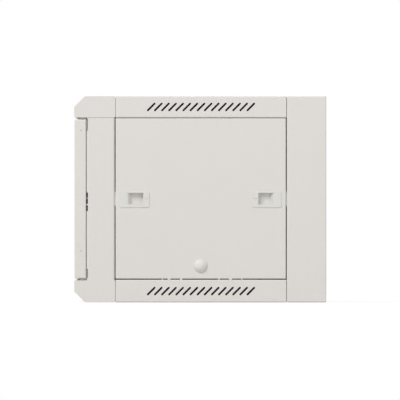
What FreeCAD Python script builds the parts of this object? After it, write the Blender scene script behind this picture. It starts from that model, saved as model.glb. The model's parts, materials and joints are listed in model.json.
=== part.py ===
import FreeCAD, Part
import math
import os
from FreeCAD import Vector

# Wall mount network cabinet for 19-inch equipment, six units high, all sizes in millimetres.
# X is the width, the door faces -Y, the wall is at +Y, Z = 0 is the underside.
# Depths in names are measured from the front face towards the wall.

# ---- whole cabinet ----
WIDTH = 600.0
DEPTH = 450.0
HEIGHT = 368.0
FRAME_SHEET = 1.5          # sheet of bars, posts, covers and rear box
PANEL_SHEET = 1.2          # sheet of side panels, door and blanking plates
BEND_INSIDE = 0.6          # inside radius of every bend
BUTT_GAP = 0.6             # two pieces of the frame that meet end to end
TOUCH_GAP = 0.3            # clearance between a moving piece and what it runs along
PAST = 1.0                 # how far a cutting block runs past the face that it cuts
THROUGH = 4.0              # how far a cutting block reaches through a sheet

# ---- front bars and posts ----
FRONT_BAR_DEPTH = 73.2
TOP_BAR_HEIGHT = 38.0
BOTTOM_BAR_HEIGHT = 39.4
FRONT_BAR_CHAMFER = 19.0
FRONT_BAR_LIP = 14.0
POST_SETBACK = 22.0
POST_FACE_WIDTH = 38.0
POST_INNER_LIP = 13.0
POST_REAR_FLANGE = 16.0
POST_SEAM = 0.5
POST_REAR_GAP = 0.9        # post ahead of the bars' rear face
POST_BEND = 2.0            # inside radius of the post's bends
NOTCH_REACH = 2.4          # how far the post's notches come round onto its side
TOP_NOTCH = (23.5, 2.0)           # ends of the notch, below the upper bar
BOTTOM_NOTCH = (4.0, 20.0)        # ends of the notch, above the lower bar
LOWER_NOTCH = (23.0, 12.5)        # ends of the notch, below the lock
NOTCH_WIDTH = 3.5
LOWER_NOTCH_WIDTH = 12.0

# ---- covers with their vented side rails ----
REAR_BOX_DEPTH = 70.6
TOP_RAIL_HEIGHT = 38.3
BOTTOM_RAIL_HEIGHT = 40.3
PANEL_LANDING = 13.0
LANDING_LIP = 8.0
VENT_COUNT = 15
VENT_PITCH = 12.7
VENT_WIDTH = 3.4
VENT_LENGTH = 20.3
VENT_ANGLE = 45.0
FAN_OFFSET = 140.0
FAN_HOLE_SPACING = 105.0
FAN_HOLE_RADIUS = 2.25
FAN_VENT_RADIUS = 54.0
FAN_SLOT_COUNT = 9
FAN_SLOT_WIDTH = 5.0
ENTRY_WIDTH = 260.0
ENTRY_DEPTH = 54.0
ENTRY_CORNER = 8.0
ENTRY_FROM_REAR = 44.0     # centre of the cable entry, ahead of the cover's rear edge
PLATE_OVERLAP = 11.0
SCREW_RADIUS = 1.9
SHORT_OF_FACE = 0.2        # a screw or lining that ends just under an outer face
HOLE_CLEARANCE = 0.1
BOLT_FROM_SIDE = 20.0
BOLT_FROM_COVER = 7.5        # from the outer face of a cover to the front row of bolts
JOINT_BOLT_RADIUS = 2.5
JOINT_BOLT_END = 1.0       # end of a joint bolt past its nut
NUT_RADIUS = 4.75          # across the corners of a small nut or bolt head
NUT_THICK = 3.2
REAR_EDGE_RADIUS = 1.3

# ---- rear box ----
REAR_FLANGE = 24.0
WALL_HOLE_SPAN_X = 500.0
WALL_HOLE_SPAN_Z = 290.0
WALL_HOLE_RADIUS = 5.0
KEYHOLE_SPAN = 300.0
KEYHOLE_HEAD_RADIUS = 8.0
KEYHOLE_NECK_RADIUS = 4.5
KEYHOLE_RISE = 14.0
REAR_ENTRY_HEIGHT = 60.0
REAR_ENTRY_CENTRE_Z = 86.0
EDGING_THICK = 1.6

# ---- door ----
DOOR_SETBACK = 0.5
DOOR_DEPTH = 20.8
DOOR_TOP_GAP = 3.4
DOOR_BOTTOM_GAP = 3.1
DOOR_EDGE_RADIUS = 2.4
DOOR_STILE = 46.0
DOOR_RAIL = 38.0
DOOR_LIP = 11.0
WINDOW_CORNER = 6.0
GLASS_THICK = 4.0
GLASS_OVERLAP = 5.5
TAPE_THICK = 1.0
TAPE_SETBACK = 1.0         # tape outside the window's edge
SEAL_DEPTHS = (9.5, 20.6)
SEAL_CLEARANCE = 0.4
PIVOT_INSET = 6.0
PIVOT_DEPTH = 8.5
PIN_RADIUS = 2.25
PIN_LENGTH = 27.0
PIN_ENGAGEMENT = 9.0
PIN_RUNNING_FIT = 0.08
BUSH_WALL = 1.2
BUSH_FLANGE_RADIUS = 5.0
BUSH_FLANGE = 0.8
RIVET_DEPTH = 12.2
RIVET_RADIUS = 1.5
RIVET_PROUD = 0.3
RIVET_FROM_DOOR_BOTTOM = 49.3
RIVET_FROM_DOOR_TOP = 19.2
RIVET_BULB_RADIUS = 2.25
RIVET_BULB_LENGTH = 1.5
BRACKET_INSET = 12.0       # from the door's end to the bracket's shelf
BRACKET_REACH = 14.0       # of the shelf, across the door's edge
BRACKET_LEAF = (8.0, 6.0)  # leaf ahead of its rivet and behind it
BRACKET_END = 5.0          # leaf beyond its rivet

# ---- door lock ----
LOCK_HEIGHT = 186.0
LOCK_INSET = 23.0
LOCK_DISH_RADIUS = 15.0
LOCK_DISH_DEPTH = 3.0
LOCK_BODY_RADIUS = 9.0
LOCK_FLANGE_RADIUS = 12.0
LOCK_BARREL_RADIUS = 6.0
LOCK_SHAFT_RADIUS = 4.0
LOCK_FLANGE_THICK = 1.8
LOCK_FLANGE_CHAMFER = 0.5
LOCK_SQUARE = 5.2          # square that drives the cam
LOCK_BARREL_DEPTH = 12.0
KEYWAY = (1.6, 7.0, 6.0)
CAM_THICK = 2.0
CAM_WIDTH = 14.0
CAM_REACH = 20.0
CAM_CLEARANCE = 1.0
STRIKE_HEIGHT = 20.4

# ---- side panels and their slide latches ----
PANEL_FRONT_GAP = 0.65
PANEL_REAR_GAP = 1.6
PANEL_TOP_GAP = 1.1
PANEL_BOTTOM_GAP = 1.9
PANEL_EDGE_DEPTH = 12.5
PANEL_EDGE_RADIUS = 1.6
HOOK_SPAN = 107.0
HOOK_LENGTH = 34.0
HOOK_DROP = 9.0
HOOK_INSET = 8.5           # from the panel's face to the hook's outer face
HOOK_CLEARANCE = 0.5
LATCH_HEIGHT = 183.5
LATCH_FROM_EDGE = 7.8
BEZEL_LENGTH = 52.5
BEZEL_HEIGHT = 28.0
BEZEL_PROUD = 1.0
BEZEL_CORNER = 2.0
BEZEL_DIP = (7.5, 0.7)     # length and depth of the roll-off that leads into the window
WINDOW_FROM_EDGE = 14.8    # from the bezel's outer end to its window
WINDOW_LENGTH = 26.6
WINDOW_HEIGHT = 20.8
WINDOW_RISE = 1.5          # centre of the window above the bezel's centre
HOUSING_INSET = 1.8        # housing inside the bezel's ends
HOUSING_WALL = 1.0
HOUSING_DEPTH = 10.0
HOUSING_LEDGE = 1.6
CUTOUT_CLEARANCE = 0.2
INDEX_LINE = (6.4, 1.0, 0.7)
SLIDER_INSIDE = 19.6       # clear height of the finger pocket
SLIDER_WALL = 1.0
SLIDER_SLOPE = 6.0
SLIDER_HEEL = 2.6
BOLT_THICK = 3.6
BOLT_INSET = 2.8           # from the panel's face to the bolt's outer face
BOLT_HEIGHT = 25.0
BOLT_NECK = 16.0
BOLT_HEAD = 5.2
BOLT_PAST_PANEL = 4.6
PLUG_RADIUS = 12.0
PLUG_HOLE_RADIUS = 9.5
PLUG_DOME = 6.5
PLUG_WALL = 1.6
PLUG_BARB = 0.7
PLUG_LEAD = 0.4            # draw-in at the tip of the plug's skirt
PLUG_HEIGHT = 64.9

# ---- 19-inch rails ----
UNIT = 44.45
UNITS = 6
RACK_HOLE_SPAN = 465.1
RACK_HOLE_INSET = 7.55     # from a rail's inner edge to the middle of its holes
SQUARE_HOLE = 9.5
RACK_SHEET = 2.0
RACK_FLANGE = 25.0
RACK_SIDE = 35.0
RACK_LIP = 10.0
RACK_END_GAP = 6.0
FRONT_RACK_DEPTH = 85.0
REAR_RACK_FROM_WALL = 100.0
STRIP_HEIGHT = 38.0
STRIP_FOOT = 20.0
RACK_TRAVEL = 90.0
CLAMP_RADIUS = 3.0
CLAMP_HEAD_RADIUS = 5.5
CLAMP_HEAD = 3.6
CLAMP_NUT = 4.5
CLAMP_BOLT_END = 1.0       # end of a clamp bolt past its nut
CLAMP_FROM_COVER = 32.0    # below the rows of vents
EARTH_STUD_OFFSET = 200.0
EARTH_STUD_LENGTH = 18.0
SLOT_CLEARANCE = 0.35

# ---- places worked out from the sizes above ----
HALF = WIDTH / 2
FRONT = -DEPTH / 2
WALL = DEPTH / 2
BAR_TOP_Z = HEIGHT - TOP_BAR_HEIGHT
RAIL_TOP_Z = HEIGHT - TOP_RAIL_HEIGHT
COVER_FRONT = FRONT + FRONT_BAR_DEPTH + BUTT_GAP
REAR_BOX_FRONT = WALL - REAR_BOX_DEPTH
COVER_REAR = REAR_BOX_FRONT - BUTT_GAP
COVER_MIDDLE = (COVER_FRONT + COVER_REAR) / 2
POST_FRONT = FRONT + POST_SETBACK
POST_REAR = FRONT + FRONT_BAR_DEPTH - POST_REAR_GAP
POST_TOP_Z = BAR_TOP_Z - POST_SEAM
DOOR_FRONT = FRONT + DOOR_SETBACK
DOOR_BACK = DOOR_FRONT + DOOR_DEPTH
DOOR_Z0 = BOTTOM_BAR_HEIGHT + DOOR_BOTTOM_GAP
DOOR_Z1 = BAR_TOP_Z - DOOR_TOP_GAP
PIVOT_X = -HALF + PIVOT_INSET
PIVOT_Y = FRONT + PIVOT_DEPTH
LOCK_X = HALF - LOCK_INSET
PANEL_Y0 = FRONT + FRONT_BAR_DEPTH + PANEL_FRONT_GAP
PANEL_Y1 = REAR_BOX_FRONT - PANEL_REAR_GAP
PANEL_Z0 = BOTTOM_RAIL_HEIGHT + PANEL_BOTTOM_GAP
PANEL_Z1 = RAIL_TOP_Z - PANEL_TOP_GAP
PANEL_MIDDLE = (PANEL_Y0 + PANEL_Y1) / 2
UNITS_Z0 = (BOTTOM_RAIL_HEIGHT + RAIL_TOP_Z - UNITS * UNIT) / 2
RIVET_Y = FRONT + RIVET_DEPTH
RIVET_HEIGHTS = (DOOR_Z0 + RIVET_FROM_DOOR_BOTTOM, DOOR_Z1 - RIVET_FROM_DOOR_TOP)
LOCK_FACE = DOOR_FRONT + LOCK_DISH_DEPTH - LOCK_FLANGE_THICK
BARREL_END = DOOR_FRONT + LOCK_DISH_DEPTH + LOCK_BARREL_DEPTH
CAM_Y = POST_FRONT + FRAME_SHEET + CAM_CLEARANCE
EARTH_STUD_PLACE = (-EARTH_STUD_OFFSET, COVER_MIDDLE)
BUSH_RADIUS = PIN_RADIUS + PIN_RUNNING_FIT + BUSH_WALL
POCKET_HEIGHT = LATCH_HEIGHT + WINDOW_RISE
REAR_RACK_DEPTH = DEPTH - REAR_RACK_FROM_WALL
RACK_X0 = RACK_HOLE_SPAN / 2 - RACK_HOLE_INSET
RACK_X1 = RACK_X0 + RACK_FLANGE
STRIP_X = RACK_X1 + TOUCH_GAP


# ---- small building blocks ----

def box(x, y, z):
    """Block between pairs of limits."""
    return Part.makeBox(x[1] - x[0], y[1] - y[0], z[1] - z[0], Vector(x[0], y[0], z[0]))


def rod(radius, start, end):
    """Round bar between two points."""
    axis = Vector(*end) - Vector(*start)
    return Part.makeCylinder(radius, axis.Length, Vector(*start), axis)


def to_space(plane, u, v, w):
    """Point of a sketch plane, w along the direction of extrusion."""
    if plane == "XZ":
        return Vector(u, w, v)
    if plane == "YZ":
        return Vector(w, u, v)
    return Vector(u, v, w)


def extrude(plane, edges, w0, w1):
    """Prism of a closed chain of edges that lies at w0."""
    face = Part.Face(Part.Wire(edges))
    return face.extrude(to_space(plane, 0, 0, w1 - w0))


def rounded_path(plane, points, radii, w):
    """Edges along a row of points, with each inner corner rounded to its radius."""
    edges = []
    last = Vector(points[0][0], points[0][1], 0)
    for before, corner, after, radius in zip(points, points[1:], points[2:], radii):
        here = Vector(corner[0], corner[1], 0)
        back = (Vector(before[0], before[1], 0) - here).normalize()
        ahead = (Vector(after[0], after[1], 0) - here).normalize()
        half_angle = back.getAngle(ahead) / 2
        tangent = radius / math.tan(half_angle)
        bisector = (back + ahead).normalize()
        start = here + back * tangent
        middle = here + bisector * (radius / math.sin(half_angle) - radius)
        end = here + ahead * tangent
        edges.append(Part.makeLine(to_space(plane, last.x, last.y, w), to_space(plane, start.x, start.y, w)))
        arc = Part.Arc(*[to_space(plane, p.x, p.y, w) for p in (start, middle, end)])
        edges.append(arc.toShape())
        last = end
    final = points[-1]
    edges.append(Part.makeLine(to_space(plane, last.x, last.y, w), to_space(plane, final[0], final[1], w)))
    return edges


def offset_points(points, distance):
    """Row of points moved to the left of its own direction, mitred at the corners."""
    normals = []
    for a, b in zip(points, points[1:]):
        along = Vector(b[0] - a[0], b[1] - a[1], 0).normalize()
        normals.append(Vector(-along.y, along.x, 0))
    moved = []
    for index, point in enumerate(points):
        first = normals[max(index - 1, 0)]
        second = normals[min(index, len(normals) - 1)]
        mitre = (first + second) / (1 + first.dot(second))
        moved.append((point[0] + mitre.x * distance, point[1] + mitre.y * distance))
    return moved


def bent_sheet(plane, points, thickness, w0, w1, inside=BEND_INSIDE):
    """Folded sheet whose face follows the points, with its thickness on their left."""
    inner = offset_points(points, thickness)
    face_radii = []
    inner_radii = []
    for a, b, c in zip(points, points[1:], points[2:]):
        turn = (b[0] - a[0]) * (c[1] - b[1]) - (b[1] - a[1]) * (c[0] - b[0])
        outside = inside + thickness
        face_radii.append(outside if turn > 0 else inside)
        inner_radii.append(inside if turn > 0 else outside)
    edges = rounded_path(plane, points, face_radii, w0)
    edges.append(Part.makeLine(to_space(plane, *points[-1], w0), to_space(plane, *inner[-1], w0)))
    edges += rounded_path(plane, inner[::-1], inner_radii[::-1], w0)
    edges.append(Part.makeLine(to_space(plane, *inner[0], w0), to_space(plane, *points[0], w0)))
    return extrude(plane, edges, w0, w1)


def outline_prism(plane, points, radius, w0, w1):
    """Prism over a closed polygon with every corner rounded alike."""
    middle = ((points[0][0] + points[-1][0]) / 2, (points[0][1] + points[-1][1]) / 2)
    closed = [middle] + list(points) + [middle]
    edges = rounded_path(plane, closed, [radius] * len(points), w0)
    return extrude(plane, edges, w0, w1)


def rounded_window(plane, u, v, radius, w0, w1):
    """Rectangular prism with rounded corners."""
    points = [(u[0], v[0]), (u[1], v[0]), (u[1], v[1]), (u[0], v[1])]
    return outline_prism(plane, points, radius, w0, w1)


def slot(plane, centre, length, width, angle, w0, w1):
    """Round-ended slot, length over its ends, turned by an angle from the plane's first axis."""
    radius = width / 2
    half = length / 2 - radius
    along = Vector(math.cos(math.radians(angle)), math.sin(math.radians(angle)), 0)
    across = Vector(-along.y, along.x, 0)
    middle = Vector(centre[0], centre[1], 0)
    a = middle - along * half
    b = middle + along * half
    corners = [a - across * radius, b - across * radius, b + across * radius, a + across * radius]
    tips = [b + along * radius, a - along * radius]
    p = [to_space(plane, c.x, c.y, w0) for c in corners]
    t = [to_space(plane, c.x, c.y, w0) for c in tips]
    edges = [Part.makeLine(p[0], p[1]), Part.Arc(p[1], t[0], p[2]).toShape(),
             Part.makeLine(p[2], p[3]), Part.Arc(p[3], t[1], p[0]).toShape()]
    return extrude(plane, edges, w0, w1)


def fuse(pieces):
    """One solid from pieces that touch or overlap."""
    if len(pieces) == 1:
        return pieces[0]
    return pieces[0].fuse(pieces[1:]).removeSplitter()


def cut(piece, tools):
    """Piece with all the tools taken away."""
    return piece.cut(tools) if tools else piece


def group(pieces):
    """Separate solids that share one node."""
    solids = [solid for piece in pieces for solid in piece.Solids]
    return Part.makeCompound(solids)


def mirror_x(piece):
    """The same piece on the other side of the cabinet."""
    return piece.mirror(Vector(0, 0, 0), Vector(1, 0, 0))


def mirror_z(piece):
    """The same piece seen from above and below, about the cabinet's middle height."""
    return piece.mirror(Vector(0, 0, HEIGHT / 2), Vector(0, 0, 1))


def edges_where(piece, test):
    """Straight edges whose middle and direction pass a test."""
    found = []
    for edge in piece.Edges:
        if edge.Curve.TypeId != "Part::GeomLine":
            continue
        ends = [vertex.Point for vertex in edge.Vertexes]
        if test((ends[0] + ends[1]) / 2, ends[1] - ends[0]):
            found.append(edge)
    return found


def near(a, b):
    """Same value to a micrometre."""
    return abs(a - b) < 1e-3


# ---- front frame ----

def bolt_places():
    """Places across the width of the bolts that join the covers to their neighbours."""
    outer = HALF - BOLT_FROM_SIDE
    return [outer * share for share in (-1, -1 / 3, 1 / 3, 1)]


def front_bar(height):
    """Deep bar over the door, with a 45 degree chamfer, closed at both ends."""
    y0 = FRONT
    y1 = FRONT + FRONT_BAR_DEPTH
    z0 = HEIGHT - height
    outline = [(y1, HEIGHT), (y0 + FRONT_BAR_CHAMFER, HEIGHT), (y0, HEIGHT - FRONT_BAR_CHAMFER),
               (y0, z0), (y1, z0)]
    path = [(y1, HEIGHT - FRONT_BAR_LIP)] + outline + [(y1, z0 + FRONT_BAR_LIP)]
    pieces = [bent_sheet("YZ", path, FRAME_SHEET, -HALF, HALF)]
    for x0 in (-HALF, HALF - FRAME_SHEET):
        pieces.append(outline_prism("YZ", outline, BEND_INSIDE + FRAME_SHEET, x0, x0 + FRAME_SHEET))
    tools = []
    for x in (PIVOT_X, -PIVOT_X):
        tools.append(rod(BUSH_RADIUS, (x, PIVOT_Y, z0 - PAST), (x, PIVOT_Y, z0 + FRAME_SHEET + PAST)))
    for x in bolt_places():
        tools.append(bolt_hole(x, y1, HEIGHT - BOLT_FROM_COVER))
    return cut(fuse(pieces), tools)


def bolt_hole(x, y, z):
    """Clearance hole through the sheets that meet at a joint plane."""
    return rod(JOINT_BOLT_RADIUS + HOLE_CLEARANCE, (x, y - THROUGH, z), (x, y + THROUGH, z))


def front_post_right():
    """Folded post behind the door's edge, with its strike, its notches and the latch slot."""
    inner = HALF - POST_FACE_WIDTH
    path = [(inner, POST_FRONT + POST_INNER_LIP), (inner, POST_FRONT), (HALF, POST_FRONT),
            (HALF, POST_REAR), (HALF - POST_REAR_FLANGE, POST_REAR)]
    post = bent_sheet("XY", path, FRAME_SHEET, BOTTOM_BAR_HEIGHT, POST_TOP_Z, POST_BEND)
    reach = (POST_FRONT - PAST, POST_FRONT + NOTCH_REACH)
    shallow = ((BAR_TOP_Z - TOP_NOTCH[0], BAR_TOP_Z - TOP_NOTCH[1]),
               (BOTTOM_BAR_HEIGHT + BOTTOM_NOTCH[0], BOTTOM_BAR_HEIGHT + BOTTOM_NOTCH[1]))
    tools = [box((HALF - NOTCH_WIDTH, HALF + PAST), reach, notch) for notch in shallow]
    lower = (LOCK_HEIGHT - LOWER_NOTCH[0], LOCK_HEIGHT - LOWER_NOTCH[1])
    tools.append(box((HALF - LOWER_NOTCH_WIDTH, HALF + PAST), reach, lower))
    strike_x = LOCK_X - LOCK_BODY_RADIUS - CAM_CLEARANCE
    strike_z = (LOCK_HEIGHT - STRIKE_HEIGHT / 2, LOCK_HEIGHT + STRIKE_HEIGHT / 2)
    tools.append(box((strike_x, HALF + PAST), reach, strike_z))
    tools.append(bolt_slot(POST_REAR))
    return cut(post, tools)


def bolt_slot(y):
    """Slot in a flange at y through which a side panel's slide bolt passes."""
    x1 = HALF - BOLT_INSET
    half = BOLT_HEIGHT / 2 + SLOT_CLEARANCE
    return box((x1 - BOLT_THICK - SLOT_CLEARANCE, x1 + SLOT_CLEARANCE), (y - THROUGH, y + THROUGH),
               (POCKET_HEIGHT - half, POCKET_HEIGHT + half))


# ---- covers and their side rails ----

def cover(rail_height, vent_angle):
    """Tray with two vented side rails, drawn as the upper one."""
    zr = HEIGHT - rail_height
    landing = HALF - PANEL_LANDING
    path = [(landing, zr - LANDING_LIP), (landing, zr), (HALF, zr), (HALF, HEIGHT),
            (-HALF, HEIGHT), (-HALF, zr), (-landing, zr), (-landing, zr - LANDING_LIP)]
    tray = bent_sheet("XZ", path, FRAME_SHEET, COVER_FRONT, COVER_REAR - FRAME_SHEET)
    outer_bend = BEND_INSIDE + FRAME_SHEET
    ends = []
    for y0 in (COVER_FRONT, COVER_REAR - FRAME_SHEET):
        end = rounded_window("XZ", (-HALF, HALF), (zr, HEIGHT), outer_bend, y0, y0 + FRAME_SHEET)
        ends.append(end)
    rim = [edge for edge in ends[1].Edges if near(edge.BoundBox.YMin, COVER_REAR)]
    ends[1] = ends[1].makeFillet(REAR_EDGE_RADIUS, rim)
    tray = fuse([tray] + ends)
    tools = []
    for x in bolt_places():
        tools.append(bolt_hole(x, COVER_FRONT, HEIGHT - BOLT_FROM_COVER))
        tools.append(bolt_hole(x, COVER_REAR, HEIGHT - REAR_FLANGE / 2))
    tools += vent_slots(HEIGHT - rail_height / 2, vent_angle)
    tools.append(entry_window(HEIGHT, ENTRY_WIDTH, ENTRY_DEPTH))
    return cut(tray, tools + entry_screw_holes(HEIGHT))


def vent_slots(z, angle):
    """One row of slanted slots, cut through both side rails at once."""
    first = COVER_MIDDLE - VENT_PITCH * (VENT_COUNT - 1) / 2
    places = [(first + VENT_PITCH * index, z) for index in range(VENT_COUNT)]
    across = (-HALF - PAST, HALF + PAST)
    return [slot("YZ", place, VENT_LENGTH, VENT_WIDTH, angle, *across) for place in places]


def entry_window(z, width, depth):
    """Cable entry near the wall side of a cover whose outer face is at z."""
    y = COVER_REAR - ENTRY_FROM_REAR
    return rounded_window("XY", (-width / 2, width / 2), (y - depth / 2, y + depth / 2), ENTRY_CORNER,
                          z - THROUGH, z + PAST)


def entry_screws():
    """Screw places at the corners of a blanking plate."""
    x = (ENTRY_WIDTH + PLATE_OVERLAP) / 2
    y = COVER_REAR - ENTRY_FROM_REAR
    dy = (ENTRY_DEPTH - 2 * ENTRY_CORNER) / 2
    return [(sx * x, y + sy * dy) for sx in (-1, 1) for sy in (-1, 1)]


def entry_screw_holes(z):
    """Clearance holes for the plate's screws, through sheets whose outer face is at z."""
    radius = SCREW_RADIUS + HOLE_CLEARANCE
    return [rod(radius, (x, y, z - THROUGH), (x, y, z + PAST)) for x, y in entry_screws()]


def top_cover():
    """Upper cover with two fan places."""
    tools = []
    for x in (-FAN_OFFSET, FAN_OFFSET):
        tools += fan_cuts(x)
    return cut(cover(TOP_RAIL_HEIGHT, VENT_ANGLE), tools)


def fan_cuts(x):
    """Slots and four fixing holes of one fan place."""
    tools = []
    sheet = (HEIGHT - THROUGH, HEIGHT + PAST)
    pitch = 2 * FAN_VENT_RADIUS / (FAN_SLOT_COUNT + 1)
    for index in range(FAN_SLOT_COUNT):
        dy = pitch * (index - (FAN_SLOT_COUNT - 1) / 2)
        length = 2 * math.sqrt(FAN_VENT_RADIUS ** 2 - dy ** 2)
        tools.append(slot("XY", (x, COVER_MIDDLE + dy), length, FAN_SLOT_WIDTH, 0, *sheet))
    half = FAN_HOLE_SPACING / 2
    for dx in (-half, half):
        for dy in (-half, half):
            centre = (x + dx, COVER_MIDDLE + dy)
            tools.append(rod(FAN_HOLE_RADIUS, (*centre, sheet[0]), (*centre, sheet[1])))
    return tools


def bottom_cover():
    """Lower cover, whose side rails have slots for the side panels' hooks."""
    tools = []
    for y in hook_places():
        slot_x = HALF - HOOK_INSET + HOOK_CLEARANCE
        reach = HOOK_LENGTH / 2 + HOOK_CLEARANCE
        one = box((slot_x - PANEL_SHEET - 2 * HOOK_CLEARANCE, slot_x), (y - reach, y + reach),
                  (BOTTOM_RAIL_HEIGHT - THROUGH, BOTTOM_RAIL_HEIGHT + PAST))
        tools += [one, mirror_x(one)]
    return cut(mirror_z(cover(BOTTOM_RAIL_HEIGHT, -VENT_ANGLE)), tools)


def entry_plate_top():
    """Blanking plate under the upper cable entry."""
    width = ENTRY_WIDTH + 2 * PLATE_OVERLAP
    depth = ENTRY_DEPTH + 2 * PLATE_OVERLAP
    y = COVER_REAR - ENTRY_FROM_REAR
    z1 = HEIGHT - FRAME_SHEET
    plate = rounded_window("XY", (-width / 2, width / 2), (y - depth / 2, y + depth / 2), ENTRY_CORNER,
                           z1 - PANEL_SHEET, z1)
    return cut(plate, entry_screw_holes(z1))


def entry_screws_top():
    """Pan head screws that hold the upper blanking plate from inside."""
    z1 = HEIGHT - FRAME_SHEET - PANEL_SHEET
    screws = []
    for x, y in entry_screws():
        head = rod(2 * SCREW_RADIUS, (x, y, z1 - SCREW_RADIUS), (x, y, z1))
        shank = rod(SCREW_RADIUS, (x, y, z1 - SCREW_RADIUS / 2), (x, y, HEIGHT - SHORT_OF_FACE))
        screws.append(fuse([head, shank]))
    return group(screws)


def joint_bolts(y, z, grip):
    """Row of hexagon bolts through a joint, heads and nuts against the sheets."""
    bolts = []
    for x in bolt_places():
        end = y + grip + NUT_THICK + JOINT_BOLT_END
        shank = rod(JOINT_BOLT_RADIUS, (x, y - grip - NUT_THICK / 2, z), (x, end, z))
        head = hexagon((x, y - grip - NUT_THICK, z), NUT_THICK)
        nut = hexagon((x, y + grip, z), NUT_THICK)
        bolts.append(fuse([shank, head, nut]))
    return bolts


def hexagon(centre, thick):
    """Hexagonal prism along +Y, across the flats of a small bolt."""
    corners = []
    for k in range(7):
        turn = math.radians(60 * k)
        corners.append(Vector(*centre) + Vector(math.cos(turn), 0, math.sin(turn)) * NUT_RADIUS)
    return Part.Face(Part.makePolygon(corners)).extrude(Vector(0, thick, 0))


def frame_bolts():
    """Bolts that join both covers to the front bars and to the rear box."""
    upper = joint_bolts(COVER_FRONT - BUTT_GAP / 2, HEIGHT - BOLT_FROM_COVER, FRAME_SHEET + BUTT_GAP / 2)
    upper += joint_bolts(COVER_REAR + BUTT_GAP / 2, HEIGHT - REAR_FLANGE / 2, FRAME_SHEET + BUTT_GAP / 2)
    return group(upper + [mirror_z(bolt) for bolt in upper])


# ---- rear box ----

def rear_box():
    """Deep pan against the wall, with an inward flange that faces the covers."""
    outer = box((-HALF, HALF), (REAR_BOX_FRONT, WALL), (0, HEIGHT))
    outer = outer.makeFillet(BEND_INSIDE + FRAME_SHEET, outer.Edges)
    t = FRAME_SHEET
    hollow = box((-HALF + t, HALF - t), (REAR_BOX_FRONT + t, WALL - t), (t, HEIGHT - t))
    mouth = box((-HALF + REAR_FLANGE, HALF - REAR_FLANGE), (REAR_BOX_FRONT - PAST, REAR_BOX_FRONT + t + PAST),
                (REAR_FLANGE, HEIGHT - REAR_FLANGE))
    sheet = (WALL - THROUGH, WALL + PAST)
    tools = [hollow, mouth, rear_entry(0, *sheet)]
    for x in (-1, 1):
        for z in (-1, 1):
            place = (x * WALL_HOLE_SPAN_X / 2, HEIGHT / 2 + z * WALL_HOLE_SPAN_Z / 2)
            tools.append(rod_y(WALL_HOLE_RADIUS, place, *sheet))
        tools += keyhole(x * KEYHOLE_SPAN / 2, HEIGHT / 2 + WALL_HOLE_SPAN_Z / 2 - KEYHOLE_RISE)
    for z in (REAR_FLANGE / 2, HEIGHT - REAR_FLANGE / 2):
        tools += [bolt_hole(x, REAR_BOX_FRONT, z) for x in bolt_places()]
    slot_right = bolt_slot(REAR_BOX_FRONT)
    return cut(outer, tools + [slot_right, mirror_x(slot_right)])


def keyhole(x, z):
    """Keyhole for hanging the cabinet: a head hole with a neck above it."""
    sheet = (WALL - THROUGH, WALL + PAST)
    head = rod_y(KEYHOLE_HEAD_RADIUS, (x, z), *sheet)
    length = KEYHOLE_RISE + 2 * KEYHOLE_NECK_RADIUS
    neck = slot("XZ", (x, z + KEYHOLE_RISE / 2), length, 2 * KEYHOLE_NECK_RADIUS, 90, *sheet)
    return [head, neck]


def rear_entry(grow, y0, y1):
    """Prism of the cable entry in the rear sheet, grown or shrunk all round."""
    half = ENTRY_WIDTH / 2 + grow
    rise = REAR_ENTRY_HEIGHT / 2 + grow
    z = REAR_ENTRY_CENTRE_Z
    return rounded_window("XZ", (-half, half), (z - rise, z + rise), ENTRY_CORNER + grow, y0, y1)


def rear_entry_edging():
    """Rubber edge trim that lines the rear cable entry."""
    inside = WALL - FRAME_SHEET
    lining = rear_entry(0, inside - EDGING_THICK, WALL - SHORT_OF_FACE)
    collar = rear_entry(2 * EDGING_THICK, inside - EDGING_THICK, inside)
    return fuse([lining, collar]).cut(rear_entry(-EDGING_THICK, inside - 2 * EDGING_THICK, WALL + PAST))


# ---- side panels ----

def hook_places():
    """Centres of the two hooks along a side panel's bottom edge."""
    return [PANEL_MIDDLE - HOOK_SPAN / 2, PANEL_MIDDLE + HOOK_SPAN / 2]


def side_panel_right():
    """Lift-off pan with two hooks, two latch cut-outs and a hole for the plug."""
    deep = (HALF - PANEL_EDGE_DEPTH, HALF)
    outer = box(deep, (PANEL_Y0, PANEL_Y1), (PANEL_Z0, PANEL_Z1))
    rims = edges_where(outer, lambda m, d: not near(m.x, deep[0]))
    outer = outer.makeFillet(PANEL_EDGE_RADIUS, rims)
    t = PANEL_SHEET
    hollow = box((deep[0] - PAST, HALF - t), (PANEL_Y0 + t, PANEL_Y1 - t), (PANEL_Z0 + t, PANEL_Z1 - t))
    pan = outer.cut(hollow)
    hook_x1 = HALF - HOOK_INSET
    hooks = []
    for y in hook_places():
        hook = box((hook_x1 - t, hook_x1), (y - HOOK_LENGTH / 2, y + HOOK_LENGTH / 2),
                   (PANEL_Z0 - HOOK_DROP, PANEL_Z0 + t))
        tip = edges_where(hook, lambda m, d: near(m.z, PANEL_Z0 - HOOK_DROP) and near(d.y, 0))
        hooks.append(hook.makeChamfer(HOOK_DROP / 3, tip))
    tools = []
    opening = housing_block(HOUSING_WALL + TOUCH_GAP, CUTOUT_CLEARANCE)
    for flip in (False, True):
        tools += [mirror_latch(opening, flip), mirror_latch(bolt_slot(PANEL_Y0), flip)]
    plug = (PANEL_MIDDLE, PLUG_HEIGHT)
    tools.append(rod(PLUG_HOLE_RADIUS, (HALF - THROUGH, *plug), (HALF + PAST, *plug)))
    return cut(fuse([pan] + hooks), tools)


def mirror_latch(piece, rear):
    """A latch piece as it stands at the front edge, or mirrored to the rear edge."""
    if not rear:
        return piece
    return piece.mirror(Vector(0, PANEL_MIDDLE, 0), Vector(0, 1, 0))


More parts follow.
